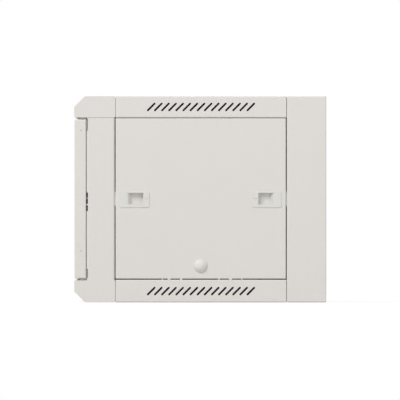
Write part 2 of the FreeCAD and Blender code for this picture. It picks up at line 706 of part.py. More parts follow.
def lock_plug_right():
    """Domed plug that snaps into the side panel's unused lock hole."""
    brim = PLUG_DOME / 8
    rise = PLUG_DOME - brim
    sphere = (PLUG_RADIUS ** 2 + rise ** 2) / (2 * rise)
    low = HALF + PLUG_DOME - sphere
    side = math.radians(90) - math.asin(PLUG_RADIUS / sphere) / 2
    middle = (sphere * math.cos(side), low + sphere * math.sin(side))
    shank = PLUG_HOLE_RADIUS - HOLE_CLEARANCE
    under = HALF - PANEL_SHEET - HOLE_CLEARANCE
    barb = PLUG_HOLE_RADIUS + PLUG_BARB
    end = under - PLUG_DOME / 2
    wall = shank - PLUG_WALL
    outline = [(wall, HALF), (wall, end), (shank - PLUG_LEAD, end), (barb, under - PLUG_BARB), (shank, under),
               (shank, HALF), (PLUG_RADIUS, HALF), (PLUG_RADIUS, HALF + brim)]
    points = [Vector(x, PANEL_MIDDLE, PLUG_HEIGHT + r) for r, x in outline]
    dome = [Vector(x, PANEL_MIDDLE, PLUG_HEIGHT + r) for r, x in
            ((PLUG_RADIUS, HALF + brim), middle, (0, HALF + PLUG_DOME))]
    axis_point = Vector(HALF, PANEL_MIDDLE, PLUG_HEIGHT)
    edges = [Part.makeLine(a, b) for a, b in zip(points, points[1:])]
    edges.append(Part.Arc(*dome).toShape())
    edges.append(Part.makeLine(dome[2], axis_point))
    edges.append(Part.makeLine(axis_point, points[0]))
    return Part.Face(Part.Wire(edges)).revolve(axis_point, Vector(1, 0, 0), 360)


# ---- slide latch, drawn at the front edge of the right panel ----

def latch_start():
    """Outer end of the bezel."""
    return PANEL_Y0 + LATCH_FROM_EDGE


def window_ends():
    """Limits of the bezel's window along the panel."""
    start = latch_start() + WINDOW_FROM_EDGE
    return (start, start + WINDOW_LENGTH)


def housing_block(outside_slider, grow):
    """Block as long as the latch housing, standing outside the slider by a wall."""
    half = SLIDER_INSIDE / 2 + SLIDER_WALL + outside_slider + grow
    y0 = latch_start() + HOUSING_INSET - grow
    y1 = latch_start() + BEZEL_LENGTH - HOUSING_INSET + grow
    return box((HALF - HOUSING_DEPTH, HALF), (y0, y1), (POCKET_HEIGHT - half, POCKET_HEIGHT + half))


def latch_bezel():
    """Snap-in bezel with the housing in which the bolt slides."""
    y0 = latch_start()
    y1 = y0 + BEZEL_LENGTH
    half = BEZEL_HEIGHT / 2
    plate = rounded_window("YZ", (y0, y1), (LATCH_HEIGHT - half, LATCH_HEIGHT + half), BEZEL_CORNER,
                           HALF, HALF + BEZEL_PROUD)
    rim = edges_where(plate, lambda m, d: near(m.x, HALF + BEZEL_PROUD))
    plate = plate.makeFillet(BEZEL_PROUD / 3, rim)
    housing = housing_block(HOUSING_WALL + TOUCH_GAP, 0)
    room = POCKET_HEIGHT - SLIDER_INSIDE / 2 - SLIDER_WALL - TOUCH_GAP
    room_top = 2 * POCKET_HEIGHT - room
    long_room = (y0 + HOUSING_INSET + HOUSING_WALL, y1 - HOUSING_INSET - HOUSING_WALL)
    slide_room = box((HALF - HOUSING_DEPTH + HOUSING_WALL, HALF), long_room, (room, room_top))
    back = box((HALF - HOUSING_DEPTH - PAST, HALF - HOUSING_DEPTH + HOUSING_WALL + PAST), long_room,
               (room + HOUSING_LEDGE, room_top - HOUSING_LEDGE))
    neck = BOLT_NECK / 2 + TOUCH_GAP
    exit_slot = box((HALF - BOLT_INSET - BOLT_THICK - TOUCH_GAP, HALF - BOLT_INSET + TOUCH_GAP),
                    (y0, long_room[0] + PAST), (POCKET_HEIGHT - neck, POCKET_HEIGHT + neck))
    window = box((HALF - PAST, HALF + BEZEL_PROUD + PAST), window_ends(),
                 (POCKET_HEIGHT - WINDOW_HEIGHT / 2, POCKET_HEIGHT + WINDOW_HEIGHT / 2))
    line_y = (window_ends()[1] + y1 - INDEX_LINE[0]) / 2
    line = box((HALF + BEZEL_PROUD - INDEX_LINE[2], HALF + BEZEL_PROUD + PAST),
               (line_y, line_y + INDEX_LINE[0]), (POCKET_HEIGHT, POCKET_HEIGHT + INDEX_LINE[1]))
    return fuse([plate, housing]).cut([slide_room, back, exit_slot, window, line, window_dip()])


def window_dip():
    """Round roll-off in the bezel's face that leads the finger into the window."""
    length, depth = BEZEL_DIP
    radius = (length ** 2 + depth ** 2) / (2 * depth)
    edge = window_ends()[0]
    face = HALF + BEZEL_PROUD
    rise = (POCKET_HEIGHT - WINDOW_HEIGHT / 2, POCKET_HEIGHT + WINDOW_HEIGHT / 2)
    above = box((face - 2 * depth, face + PAST), (edge - length, edge + PAST), rise)
    axis = (face - radius, edge - length)
    return above.cut(rod(radius, (*axis, rise[0] - PAST), (*axis, rise[1] + PAST)))


def latch_slider():
    """Slide bolt: a finger pocket with a sloped outer side, and the tongue it drives."""
    w0, w1 = window_ends()
    x0 = HALF - HOUSING_DEPTH + HOUSING_WALL + TOUCH_GAP
    x1 = HALF - TOUCH_GAP
    half = SLIDER_INSIDE / 2
    body = box((x0, x1), (w0 - SLIDER_HEEL, w1 + SLIDER_WALL),
               (POCKET_HEIGHT - half - SLIDER_WALL, POCKET_HEIGHT + half + SLIDER_WALL))
    floor = x0 + SLIDER_WALL
    section = [(floor, w0 + SLIDER_SLOPE), (floor, w1), (x1 + PAST, w1), (x1 + PAST, w0)]
    corners = [Vector(x, y, POCKET_HEIGHT - half) for x, y in section + section[:1]]
    pocket = Part.Face(Part.makePolygon(corners)).extrude(Vector(0, 0, SLIDER_INSIDE))
    thick = (HALF - BOLT_INSET - BOLT_THICK, HALF - BOLT_INSET)
    tip = PANEL_Y0 - BOLT_PAST_PANEL
    neck = box(thick, (tip, w0), (POCKET_HEIGHT - BOLT_NECK / 2, POCKET_HEIGHT + BOLT_NECK / 2))
    rise = BOLT_HEIGHT / 2
    head = box(thick, (tip, tip + BOLT_HEAD), (POCKET_HEIGHT - rise, POCKET_HEIGHT + rise))
    bolt = fuse([neck, head])
    nose = edges_where(bolt, lambda m, d: near(m.y, tip) and near(m.x, thick[0]))
    bolt = bolt.makeChamfer(BOLT_THICK / 3, nose)
    return fuse([body.cut(pocket), bolt])


# ---- door ----

def door_frame():
    """Folded door pan with a window, turned edges, return lips and a dish for the lock."""
    t = PANEL_SHEET
    outer = box((-HALF, HALF), (DOOR_FRONT, DOOR_BACK), (DOOR_Z0, DOOR_Z1))
    rims = edges_where(outer, lambda m, d: not near(m.y, DOOR_BACK) or near(abs(m.x), HALF))
    outer = outer.makeFillet(DOOR_EDGE_RADIUS, rims)
    hollow = box((-HALF + t, HALF - t), (DOOR_FRONT + t, DOOR_BACK - t), (DOOR_Z0 + t, DOOR_Z1 - t))
    lip = DOOR_LIP
    back = box((-HALF + lip, HALF - lip), (DOOR_BACK - t - PAST, DOOR_BACK + PAST),
               (DOOR_Z0 + lip, DOOR_Z1 - lip))
    pan = outer.cut([hollow, back, window_prism(0, DOOR_FRONT - PAST, DOOR_FRONT + t + PAST)])
    dish_back = DOOR_FRONT + LOCK_DISH_DEPTH
    lock = (LOCK_X, LOCK_HEIGHT)
    cup = rod_y(LOCK_DISH_RADIUS + t, lock, DOOR_FRONT, dish_back + t)
    pan = fuse([pan, cup]).cut([rod_y(LOCK_DISH_RADIUS, lock, DOOR_FRONT - PAST, dish_back)])
    tools = [rod_y(LOCK_BODY_RADIUS + HOLE_CLEARANCE, lock, DOOR_FRONT, dish_back + 2 * t)]
    reach = PIN_RADIUS + HOLE_CLEARANCE
    for z in (DOOR_Z0, DOOR_Z1):
        tools.append(rod(reach, (PIVOT_X, PIVOT_Y, z - 2 * t), (PIVOT_X, PIVOT_Y, z + 2 * t)))
    for z in RIVET_HEIGHTS:
        hole = rod(RIVET_RADIUS, (HALF - 2 * t, RIVET_Y, z), (HALF + PAST, RIVET_Y, z))
        tools += [hole, mirror_x(hole)]
    return cut(pan, tools)


def rod_y(radius, centre, y0, y1):
    """Round bar along Y at a place (x, z)."""
    return rod(radius, (centre[0], y0, centre[1]), (centre[0], y1, centre[1]))


def window_prism(grow, y0, y1):
    """Prism of the door's window, grown or shrunk all round."""
    half = HALF - DOOR_STILE + grow
    return rounded_window("XZ", (-half, half), (DOOR_Z0 + DOOR_RAIL - grow, DOOR_Z1 - DOOR_RAIL + grow),
                          WINDOW_CORNER + grow, y0, y1)


def door_glass():
    """Toughened glass pane behind the door's window."""
    y0 = DOOR_FRONT + PANEL_SHEET + TAPE_THICK
    return window_prism(GLASS_OVERLAP, y0, y0 + GLASS_THICK)


def glass_tape():
    """Foam tape that bonds the pane to the door all round."""
    y0 = DOOR_FRONT + PANEL_SHEET
    y1 = y0 + TAPE_THICK
    return window_prism(GLASS_OVERLAP, y0, y1).cut(window_prism(TAPE_SETBACK, y0 - PAST, y1 + PAST))


def door_edge_seals():
    """Foam strips that close the rear part of the gaps above and below the door."""
    x = (PIVOT_X + PIVOT_DEPTH, HALF - PANEL_SHEET)
    y = (FRONT + SEAL_DEPTHS[0], FRONT + SEAL_DEPTHS[1])
    upper = box(x, y, (DOOR_Z1, BAR_TOP_Z - SEAL_CLEARANCE))
    lower = box(x, y, (BOTTOM_BAR_HEIGHT + SEAL_CLEARANCE, DOOR_Z0))
    return group([upper, lower])


def pivot_pin(bar_height):
    """Spring hinge pin that runs in the bush of a bar, drawn as the upper one."""
    z1 = HEIGHT - bar_height + PIN_ENGAGEMENT
    pin = rod(PIN_RADIUS, (PIVOT_X, PIVOT_Y, z1 - PIN_LENGTH), (PIVOT_X, PIVOT_Y, z1))
    return pin.makeChamfer(PIN_RADIUS / 3, [e for e in pin.Edges if near(e.BoundBox.ZMin, z1)])


def pivot_bush(bar_height):
    """Flanged nylon bush pressed into a front bar, drawn as the upper one."""
    pivot = (PIVOT_X, PIVOT_Y)
    face = HEIGHT - bar_height
    z0 = face - BUSH_FLANGE
    z1 = face + PIN_ENGAGEMENT
    flange = rod(BUSH_FLANGE_RADIUS, (*pivot, z0), (*pivot, face))
    sleeve = rod(BUSH_RADIUS, (*pivot, z0), (*pivot, z1))
    bore = rod(PIN_RADIUS + PIN_RUNNING_FIT, (*pivot, z0 - PAST), (*pivot, z1 + PAST))
    return fuse([flange, sleeve]).cut(bore)


def pin_brackets():
    """Small angles riveted inside both door edges, which guide the pins on either hand."""
    t = FRAME_SHEET
    wall = -HALF + PANEL_SHEET
    leaf_y = (RIVET_Y - BRACKET_LEAF[0], RIVET_Y + BRACKET_LEAF[1])
    pivot = (PIVOT_X, PIVOT_Y)
    brackets = []
    for z, level in zip(RIVET_HEIGHTS, (DOOR_Z0 + BRACKET_INSET, DOOR_Z1 - BRACKET_INSET)):
        ends = sorted((z + math.copysign(BRACKET_END, z - level), level))
        leaf = box((wall, wall + t), leaf_y, ends)
        shelf = box((wall, wall + BRACKET_REACH), leaf_y, (level - t / 2, level + t / 2))
        pin_hole = rod(PIN_RADIUS + HOLE_CLEARANCE, (*pivot, level - THROUGH), (*pivot, level + THROUGH))
        rivet_hole = rod(RIVET_RADIUS, (wall - PAST, RIVET_Y, z), (wall + THROUGH, RIVET_Y, z))
        bracket = fuse([leaf, shelf]).cut([pin_hole, rivet_hole])
        brackets += [bracket, mirror_x(bracket)]
    return group(brackets)


def door_rivets():
    """Blind rivets through the door's edges into the brackets."""
    rivets = []
    x_end = HALF - PANEL_SHEET - FRAME_SHEET
    for z in RIVET_HEIGHTS:
        axis = (RIVET_Y, z)
        shank = rod(RIVET_RADIUS, (x_end - RIVET_BULB_LENGTH / 2, *axis), (HALF + RIVET_PROUD, *axis))
        bulb = rod(RIVET_BULB_RADIUS, (x_end - RIVET_BULB_LENGTH, *axis), (x_end, *axis))
        rivet = fuse([shank, bulb])
        rivets += [rivet, mirror_x(rivet)]
    return group(rivets)


# ---- door lock ----

def lock_body():
    """Flanged lock housing that sits in the door's dish."""
    lock = (LOCK_X, LOCK_HEIGHT)
    dish_back = DOOR_FRONT + LOCK_DISH_DEPTH
    flange = rod_y(LOCK_FLANGE_RADIUS, lock, LOCK_FACE, dish_back)
    rim = [edge for edge in flange.Edges if near(edge.BoundBox.YMax, LOCK_FACE)]
    flange = flange.makeChamfer(LOCK_FLANGE_CHAMFER, rim)
    shell = rod_y(LOCK_BODY_RADIUS, lock, LOCK_FACE, DOOR_BACK)
    fit = PIN_RUNNING_FIT
    bores = [rod_y(LOCK_BARREL_RADIUS + fit, lock, LOCK_FACE - PAST, BARREL_END + fit),
             rod_y(LOCK_SHAFT_RADIUS + fit, lock, BARREL_END, DOOR_BACK + PAST)]
    return fuse([flange, shell]).cut(bores)


def lock_nut():
    """Ring nut that clamps the lock housing from behind the dish."""
    lock = (LOCK_X, LOCK_HEIGHT)
    y0 = DOOR_FRONT + LOCK_DISH_DEPTH + PANEL_SHEET
    ring = rod_y(LOCK_FLANGE_RADIUS, lock, y0, y0 + NUT_THICK)
    return ring.cut(rod_y(LOCK_BODY_RADIUS, lock, y0 - PAST, y0 + NUT_THICK + PAST))


def lock_barrel():
    """Key barrel with its shaft to the cam."""
    lock = (LOCK_X, LOCK_HEIGHT)
    barrel = rod_y(LOCK_BARREL_RADIUS, lock, LOCK_FACE, BARREL_END)
    shaft = rod_y(LOCK_SHAFT_RADIUS, lock, BARREL_END, CAM_Y)
    drive = lock_square(CAM_Y - PAST, CAM_Y + CAM_THICK)
    keyway = box((LOCK_X - KEYWAY[0] / 2, LOCK_X + KEYWAY[0] / 2), (LOCK_FACE - PAST, LOCK_FACE + KEYWAY[2]),
                 (LOCK_HEIGHT - KEYWAY[1] / 2, LOCK_HEIGHT + KEYWAY[1] / 2))
    return fuse([barrel, shaft, drive]).cut(keyway)


def lock_square(y0, y1):
    """Square block on the lock's axis."""
    half = LOCK_SQUARE / 2
    return box((LOCK_X - half, LOCK_X + half), (y0, y1), (LOCK_HEIGHT - half, LOCK_HEIGHT + half))


def lock_cam():
    """Cam that turns behind the front post."""
    centre = (LOCK_X + (CAM_REACH - CAM_WIDTH / 2) / 2, LOCK_HEIGHT)
    length = CAM_REACH + CAM_WIDTH / 2
    blade = slot("XZ", centre, length, CAM_WIDTH, 0, CAM_Y, CAM_Y + CAM_THICK)
    return blade.cut(lock_square(CAM_Y - PAST, CAM_Y + CAM_THICK + PAST))


def cam_nut():
    """Nut that keeps the cam on its shaft."""
    return hexagon((LOCK_X, CAM_Y + CAM_THICK, LOCK_HEIGHT), NUT_THICK)


# ---- 19-inch rails ----

def depth_strip():
    """Slotted angle under the top cover that carries one end of the right-hand rails."""
    z1 = HEIGHT - FRAME_SHEET
    path = [(STRIP_X + STRIP_FOOT, z1), (STRIP_X, z1), (STRIP_X, z1 - STRIP_HEIGHT)]
    ends = (COVER_FRONT + 2 * FRAME_SHEET, COVER_REAR - 2 * FRAME_SHEET)
    strip = bent_sheet("XZ", path, RACK_SHEET, *ends)
    length = RACK_TRAVEL + 2 * (CLAMP_RADIUS + SLOT_CLEARANCE)
    width = 2 * (CLAMP_RADIUS + SLOT_CLEARANCE)
    z = HEIGHT - CLAMP_FROM_COVER
    sheet = (STRIP_X - PAST, STRIP_X + RACK_SHEET + PAST)
    slots = []
    for depth, direction in ((FRONT_RACK_DEPTH, 1), (REAR_RACK_DEPTH, -1)):
        y = clamp_y(depth, direction) + direction * RACK_TRAVEL / 2
        slots.append(slot("YZ", (y, z), length, width, 0, *sheet))
    return cut(strip, slots)


def clamp_y(face_depth, direction):
    """Place along Y of the clamp bolts of a rail whose face is at a depth."""
    return FRONT + face_depth + direction * RACK_SIDE / 2


def depth_strips_right():
    """Upper and lower slotted angles of one side."""
    upper = depth_strip()
    return group([upper, mirror_z(upper)])


def rack_rail(face_depth, direction):
    """Folded 19-inch rail with three square holes per height unit."""
    y0 = FRONT + face_depth
    path = [(RACK_X0, y0), (RACK_X1, y0), (RACK_X1, y0 + RACK_SIDE), (RACK_X1 - RACK_LIP, y0 + RACK_SIDE)]
    end = FRAME_SHEET + RACK_END_GAP
    rail = bent_sheet("XY", path, RACK_SHEET, end, HEIGHT - end)
    half = SQUARE_HOLE / 2
    across = (RACK_HOLE_SPAN / 2 - half, RACK_HOLE_SPAN / 2 + half)
    face = (y0 - PAST, y0 + RACK_SHEET + PAST)
    tools = []
    for unit in range(UNITS):
        for offset in (UNIT / 7, UNIT / 2, UNIT * 6 / 7):
            z = UNITS_Z0 + unit * UNIT + offset
            tools.append(box(across, face, (z - half, z + half)))
    for z in (CLAMP_FROM_COVER, HEIGHT - CLAMP_FROM_COVER):
        y = clamp_y(face_depth, 1)
        tools.append(rod(CLAMP_RADIUS + HOLE_CLEARANCE, (RACK_X1 - THROUGH, y, z), (RACK_X1 + PAST, y, z)))
    rail = cut(rail, tools)
    if direction < 0:
        rail = rail.mirror(Vector(0, y0, 0), Vector(0, 1, 0))
    return rail


def clamp_bolts(face_depth, direction):
    """Bolts and nuts that clamp one rail to the slotted angles."""
    y = clamp_y(face_depth, direction)
    inside = RACK_X1 - RACK_SHEET
    nut_x = STRIP_X + RACK_SHEET + TOUCH_GAP
    pieces = []
    for z in (CLAMP_FROM_COVER, HEIGHT - CLAMP_FROM_COVER):
        head = rod(CLAMP_HEAD_RADIUS, (inside - CLAMP_HEAD, y, z), (inside, y, z))
        rim = [edge for edge in head.Edges if near(edge.BoundBox.XMax, inside - CLAMP_HEAD)]
        head = head.makeFillet(CLAMP_HEAD / 3, rim)
        shank = rod(CLAMP_RADIUS, (inside - CLAMP_HEAD / 2, y, z), (nut_x + CLAMP_NUT + CLAMP_BOLT_END, y, z))
        nut = rod(CLAMP_HEAD_RADIUS, (nut_x, y, z), (nut_x + CLAMP_NUT, y, z))
        pieces.append(fuse([head, shank, nut]))
    return group(pieces)


def earth_stud():
    """Threaded earthing stud welded to the lower cover, with its nut."""
    x, y = EARTH_STUD_PLACE
    stud = rod(CLAMP_RADIUS, (x, y, FRAME_SHEET), (x, y, FRAME_SHEET + EARTH_STUD_LENGTH))
    nut = rod(CLAMP_HEAD_RADIUS, (x, y, FRAME_SHEET), (x, y, FRAME_SHEET + CLAMP_NUT))
    return fuse([stud, nut])


# ---- the whole cabinet ----

def left_and_right(name, piece):
    """The right-hand piece and its mirror image, under two names."""
    return {name + "_right": piece, name + "_left": mirror_x(piece)}


def cabinet():
    """Every node by name."""
    nodes = {"front_bar_top": front_bar(TOP_BAR_HEIGHT), "top_cover": top_cover(),
             "bottom_cover": bottom_cover(), "rear_box": rear_box(),
             "rear_entry_edging": rear_entry_edging(), "frame_bolts": frame_bolts(),
             "entry_plate_top": entry_plate_top(), "entry_plate_screws_top": entry_screws_top(),
             "pivot_bushes": group([pivot_bush(TOP_BAR_HEIGHT), mirror_z(pivot_bush(BOTTOM_BAR_HEIGHT))]),
             "earth_stud": earth_stud(),
             "door_frame": door_frame(), "door_glass": door_glass(), "door_glass_tape": glass_tape(),
             "door_edge_seals": door_edge_seals(), "door_pin_upper": pivot_pin(TOP_BAR_HEIGHT),
             "door_pin_brackets": pin_brackets(), "door_rivets": door_rivets(),
             "door_lock_body": lock_body(), "door_lock_nut": lock_nut(), "door_lock_barrel": lock_barrel(),
             "door_lock_cam": lock_cam(), "door_lock_cam_nut": cam_nut()}
    nodes["front_bar_bottom"] = mirror_z(front_bar(BOTTOM_BAR_HEIGHT))
    nodes["entry_plate_bottom"] = mirror_z(nodes["entry_plate_top"])
    nodes["entry_plate_screws_bottom"] = mirror_z(nodes["entry_plate_screws_top"])
    nodes["door_pin_lower"] = mirror_z(pivot_pin(BOTTOM_BAR_HEIGHT))
    nodes.update(left_and_right("front_post", front_post_right()))
    nodes.update(left_and_right("side_panel", side_panel_right()))
    nodes.update(left_and_right("lock_hole_plug", lock_plug_right()))
    nodes.update(left_and_right("depth_strips", depth_strips_right()))
    for end, rear in (("front", False), ("rear", True)):
        nodes.update(left_and_right("latch_bezel_" + end, mirror_latch(latch_bezel(), rear)))
        nodes.update(left_and_right("latch_slider_" + end, mirror_latch(latch_slider(), rear)))
    for end, depth, direction in (("front", FRONT_RACK_DEPTH, 1), ("rear", REAR_RACK_DEPTH, -1)):
        nodes.update(left_and_right("rack_rail_" + end, rack_rail(depth, direction)))
        nodes.update(left_and_right("clamp_bolts_" + end, clamp_bolts(depth, direction)))
    return nodes


os.makedirs("parts", exist_ok=True)
for node_name, shape in cabinet().items():
    shape.exportStep("parts/" + node_name + ".step")
    print(node_name, len(shape.Solids), shape.isValid(), round(shape.Volume, 1))
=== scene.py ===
import json
import logging
import math
from dataclasses import dataclass, field
from enum import Enum
from typing import Sequence, Union

import bpy
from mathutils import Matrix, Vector


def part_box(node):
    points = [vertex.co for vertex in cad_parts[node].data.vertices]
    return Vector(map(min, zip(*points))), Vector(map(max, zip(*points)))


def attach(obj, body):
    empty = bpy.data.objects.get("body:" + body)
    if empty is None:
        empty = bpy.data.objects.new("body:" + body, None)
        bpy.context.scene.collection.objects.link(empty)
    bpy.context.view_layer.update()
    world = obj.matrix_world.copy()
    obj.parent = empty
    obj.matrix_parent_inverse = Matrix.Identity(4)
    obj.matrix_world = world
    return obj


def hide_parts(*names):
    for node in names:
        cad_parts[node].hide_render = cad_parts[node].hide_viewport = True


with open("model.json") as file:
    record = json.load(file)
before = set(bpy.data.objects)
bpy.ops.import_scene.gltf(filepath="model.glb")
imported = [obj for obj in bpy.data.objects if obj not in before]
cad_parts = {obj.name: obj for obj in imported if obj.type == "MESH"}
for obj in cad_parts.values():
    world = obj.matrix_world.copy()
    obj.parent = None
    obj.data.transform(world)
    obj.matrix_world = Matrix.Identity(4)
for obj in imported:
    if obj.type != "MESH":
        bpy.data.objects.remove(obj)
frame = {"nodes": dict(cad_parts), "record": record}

LOG = logging.getLogger("cabinet")

Pair = tuple[float, float]
Colour = tuple[float, float, float]
Place = tuple[float, float, float]
Rings = Sequence[Pair]
Number = Union[float, "Field"]

RIGHT_ANGLE = math.radians(90)


# ---------------------------------------------------------------- named options


class Way(Enum):
    """Direction in which a turned piece is built up."""

    PLUS_X = (1.0, 0.0, 0.0)
    MINUS_X = (-1.0, 0.0, 0.0)
    PLUS_Y = (0.0, 1.0, 0.0)
    PLUS_Z = (0.0, 0.0, 1.0)
    MINUS_Z = (0.0, 0.0, -1.0)

    def back(self) -> "Way":
        """The opposite direction."""
        return Way(tuple(-part for part in self.value))


class Side(Enum):
    """Side of the cabinet, seen from the door."""

    RIGHT = "right"
    LEFT = "left"

    def sign(self) -> int:
        """1 on the right, where X is positive, and -1 on the left."""
        return 1 if self is Side.RIGHT else -1

    def outward(self) -> Way:
        """Direction along X away from the cabinet's middle."""
        return Way.PLUS_X if self is Side.RIGHT else Way.MINUS_X

    def reach(self, node: str) -> Pair:
        """Ends along X of a node that lies on this side.

        Args:
            node: Name of the node.

        Returns:
            X of its inner end and of its outer end.
        """
        low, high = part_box(node)
        return (low.x, high.x) if self is Side.RIGHT else (high.x, low.x)


class End(Enum):
    """End of the cabinet along its depth."""

    FRONT = "front"
    REAR = "rear"


# ---------------------------------------------------------------- shader maths


NOISE_MIDDLE = 0.5  # value around which a noise varies
MIX_FACTOR, MIX_FIRST, MIX_SECOND = 0, 6, 7  # colour inputs of a Mix node
MIX_RESULT = 2  # its colour output


class Field:
    """A number that varies over a surface, wrapped so that sums can be written in Python."""

    def __init__(self, graph: "Graph", socket: bpy.types.NodeSocket) -> None:
        """Keeps the socket that carries the number.

        Args:
            graph: Node tree in which further nodes are made.
            socket: Output socket that carries the number.
        """
        self.graph = graph
        self.socket = socket

    def __add__(self, other: Number) -> "Field":
        """Sum."""
        return self.graph.math("ADD", self, other)

    def __radd__(self, other: float) -> "Field":
        """Sum with a plain number in front."""
        return self.graph.math("ADD", other, self)

    def __sub__(self, other: Number) -> "Field":
        """Difference."""
        return self.graph.math("SUBTRACT", self, other)

    def __rsub__(self, other: float) -> "Field":
        """Difference with a plain number in front, as in 1 - mask."""
        return self.graph.math("SUBTRACT", other, self)

    def __mul__(self, other: Number) -> "Field":
        """Product."""
        return self.graph.math("MULTIPLY", self, other)

    def __rmul__(self, other: float) -> "Field":
        """Product with a plain number in front."""
        return self.graph.math("MULTIPLY", other, self)

    def swing(self, share: float, middle: float = NOISE_MIDDLE) -> "Field":
        """How far the number is from its middle, times a share.

        Args:
            share: What the distance is multiplied by.
            middle: Value around which the number varies.

        Returns:
            A number around 0.
        """
        return (self - middle) * share

    def clipped(self, low: float, high: float) -> "Field":
        """The number spread from low..high to 0..1 and held there.

        Args:
            low: Value that becomes 0.
            high: Value that becomes 1.

        Returns:
            The spread number.
        """
        made = self.graph.node(
            "ShaderNodeMapRange",
            {"clamp": True},
            {"Value": self, "From Min": low, "From Max": high},
        )
        return Field(self.graph, made.outputs["Result"])


class Graph:
    """Node tree of one material, with its shader and output in place."""

    def __init__(self, name: str) -> None:
        """Makes an empty material with a Principled shader.

        Args:
            name: Name of the material.
        """
        self.material = bpy.data.materials.new(name)
        self.material.use_nodes = True
        self.tree = self.material.node_tree
        self.tree.nodes.clear()
        self.shader = self.tree.nodes.new("ShaderNodeBsdfPrincipled")
        self.output = self.tree.nodes.new("ShaderNodeOutputMaterial")
        self.tree.links.new(self.shader.outputs[0], self.output.inputs["Surface"])
        self.place = self.tree.nodes.new("ShaderNodeTexCoord").outputs["Object"]

    def node(self, kind: str, settings: dict | None = None, values: dict | None = None) -> bpy.types.Node:
        """Adds any node.

        Args:
            kind: Blender's name of the node type.
            settings: Properties of the node, set first.
            values: Numbers, colours, sockets or fields for its input sockets, by name or index.

        Returns:
            The new node.
        """
        made = self.tree.nodes.new(kind)
        for key, value in (settings or {}).items():
            setattr(made, key, value)
        for key, value in (values or {}).items():
            self._feed(made.inputs[key], value)
        return made

    def _feed(self, socket: bpy.types.NodeSocket, value: object) -> None:
        """Links a socket or sets its number.

        Args:
            socket: Input socket.
            value: Field, socket, number or colour.
        """
        if isinstance(value, Field):
            self.tree.links.new(value.socket, socket)
        elif isinstance(value, bpy.types.NodeSocket):
            self.tree.links.new(value, socket)
        elif isinstance(value, tuple) and len(value) == 3 and len(socket.default_value) == 4:
            socket.default_value = (*value, 1.0)
        else:
            socket.default_value = value

    def math(self, operation: str, *values: Number) -> Field:
        """Adds one Math node.

        Args:
            operation: Name of the operation.
            values: Its operands.

        Returns:
            The result.
        """
        made = self.node("ShaderNodeMath", {"operation": operation}, dict(enumerate(values)))
        return Field(self, made.outputs[0])

    def noise(self, cell: float, detail: float = 2.0, stretch: Place = (1.0, 1.0, 1.0)) -> Field:
        """Noise over the object.

        Args:
            cell: Size of its features in metres.
            detail: Number of finer octaves.
            stretch: Scale along each axis, below 1 to draw the features out.

        Returns:
            A number around NOISE_MIDDLE.
        """
        place = self.node("ShaderNodeMapping", None, {"Vector": self.place, "Scale": Vector(stretch)})
        made = self.node(
            "ShaderNodeTexNoise", None, {"Vector": place.outputs[0], "Scale": 1.0 / cell, "Detail": detail}
        )
        return Field(self, made.outputs["Fac"])

    def cells(self, cell: float) -> Field:
        """Distance to the nearest point of a random scatter over the object.

        Args:
            cell: Usual distance between the points in metres.

        Returns:
            The distance, about 0 to 1.
        """
        made = self.node("ShaderNodeTexVoronoi", None, {"Vector": self.place, "Scale": 1.0 / cell})
        return Field(self, made.outputs["Distance"])

    def blend(self, factor: Number, colour: Colour, tones: Pair) -> bpy.types.NodeSocket:
        """Mixes two tones of one colour.

        Args:
            factor: 0 for the first tone, 1 for the second.
            colour: The colour.
            tones: What it is multiplied by in each tone.

        Returns:
            Socket of the mixed colour.
        """
        first, second = (shade(colour, tone) for tone in tones)
        values = {MIX_FACTOR: factor, MIX_FIRST: first, MIX_SECOND: second}
        made = self.node("ShaderNodeMix", {"data_type": "RGBA"}, values)
        return made.outputs[MIX_RESULT]

    def bump(self, height: Number, depth: float) -> None:
        """Feeds the shader's normal from a height.

        Args:
            height: The height, 0 to 1.
            depth: Depth of a full step in metres.
        """
        made = self.node("ShaderNodeBump", None, {"Height": height, "Distance": depth, "Strength": 1.0})
        self.tree.links.new(made.outputs[0], self.shader.inputs["Normal"])

    def set(self, **values: object) -> None:
        """Sets inputs of the shader, with spaces written as underscores.

        Args:
            values: Numbers, colours or fields by the input's name.
        """
        for key, value in values.items():
            self._feed(self.shader.inputs[key.replace("_", " ")], value)


def shade(colour: Colour, factor: float) -> Colour:
    """A colour made lighter or darker.

    Args:
        colour: The colour.
        factor: What each part is multiplied by.

    Returns:
        The new colour.
    """
    return tuple(min(1.0, part * factor) for part in colour)


# ---------------------------------------------------------------- finishes
# A field that ends in _tone, _sheen or _relief is the share of that texture in the finish's tone, in its
# roughness or in the height of its relief. Widths and depths are in metres.


@dataclass(frozen=True)
class Finish:
    """What every finish has."""

    name: str
    colour: Colour

    def build(self) -> bpy.types.Material:
        """Makes the material.

        Returns:
            The material in this finish.
        """
        graph = Graph(self.name)
        self.paint(graph)
        return graph.material

    def paint(self, graph: Graph) -> None:
        """Sets up the shader.

        Args:
            graph: Node tree of the new material.
        """
        raise NotImplementedError


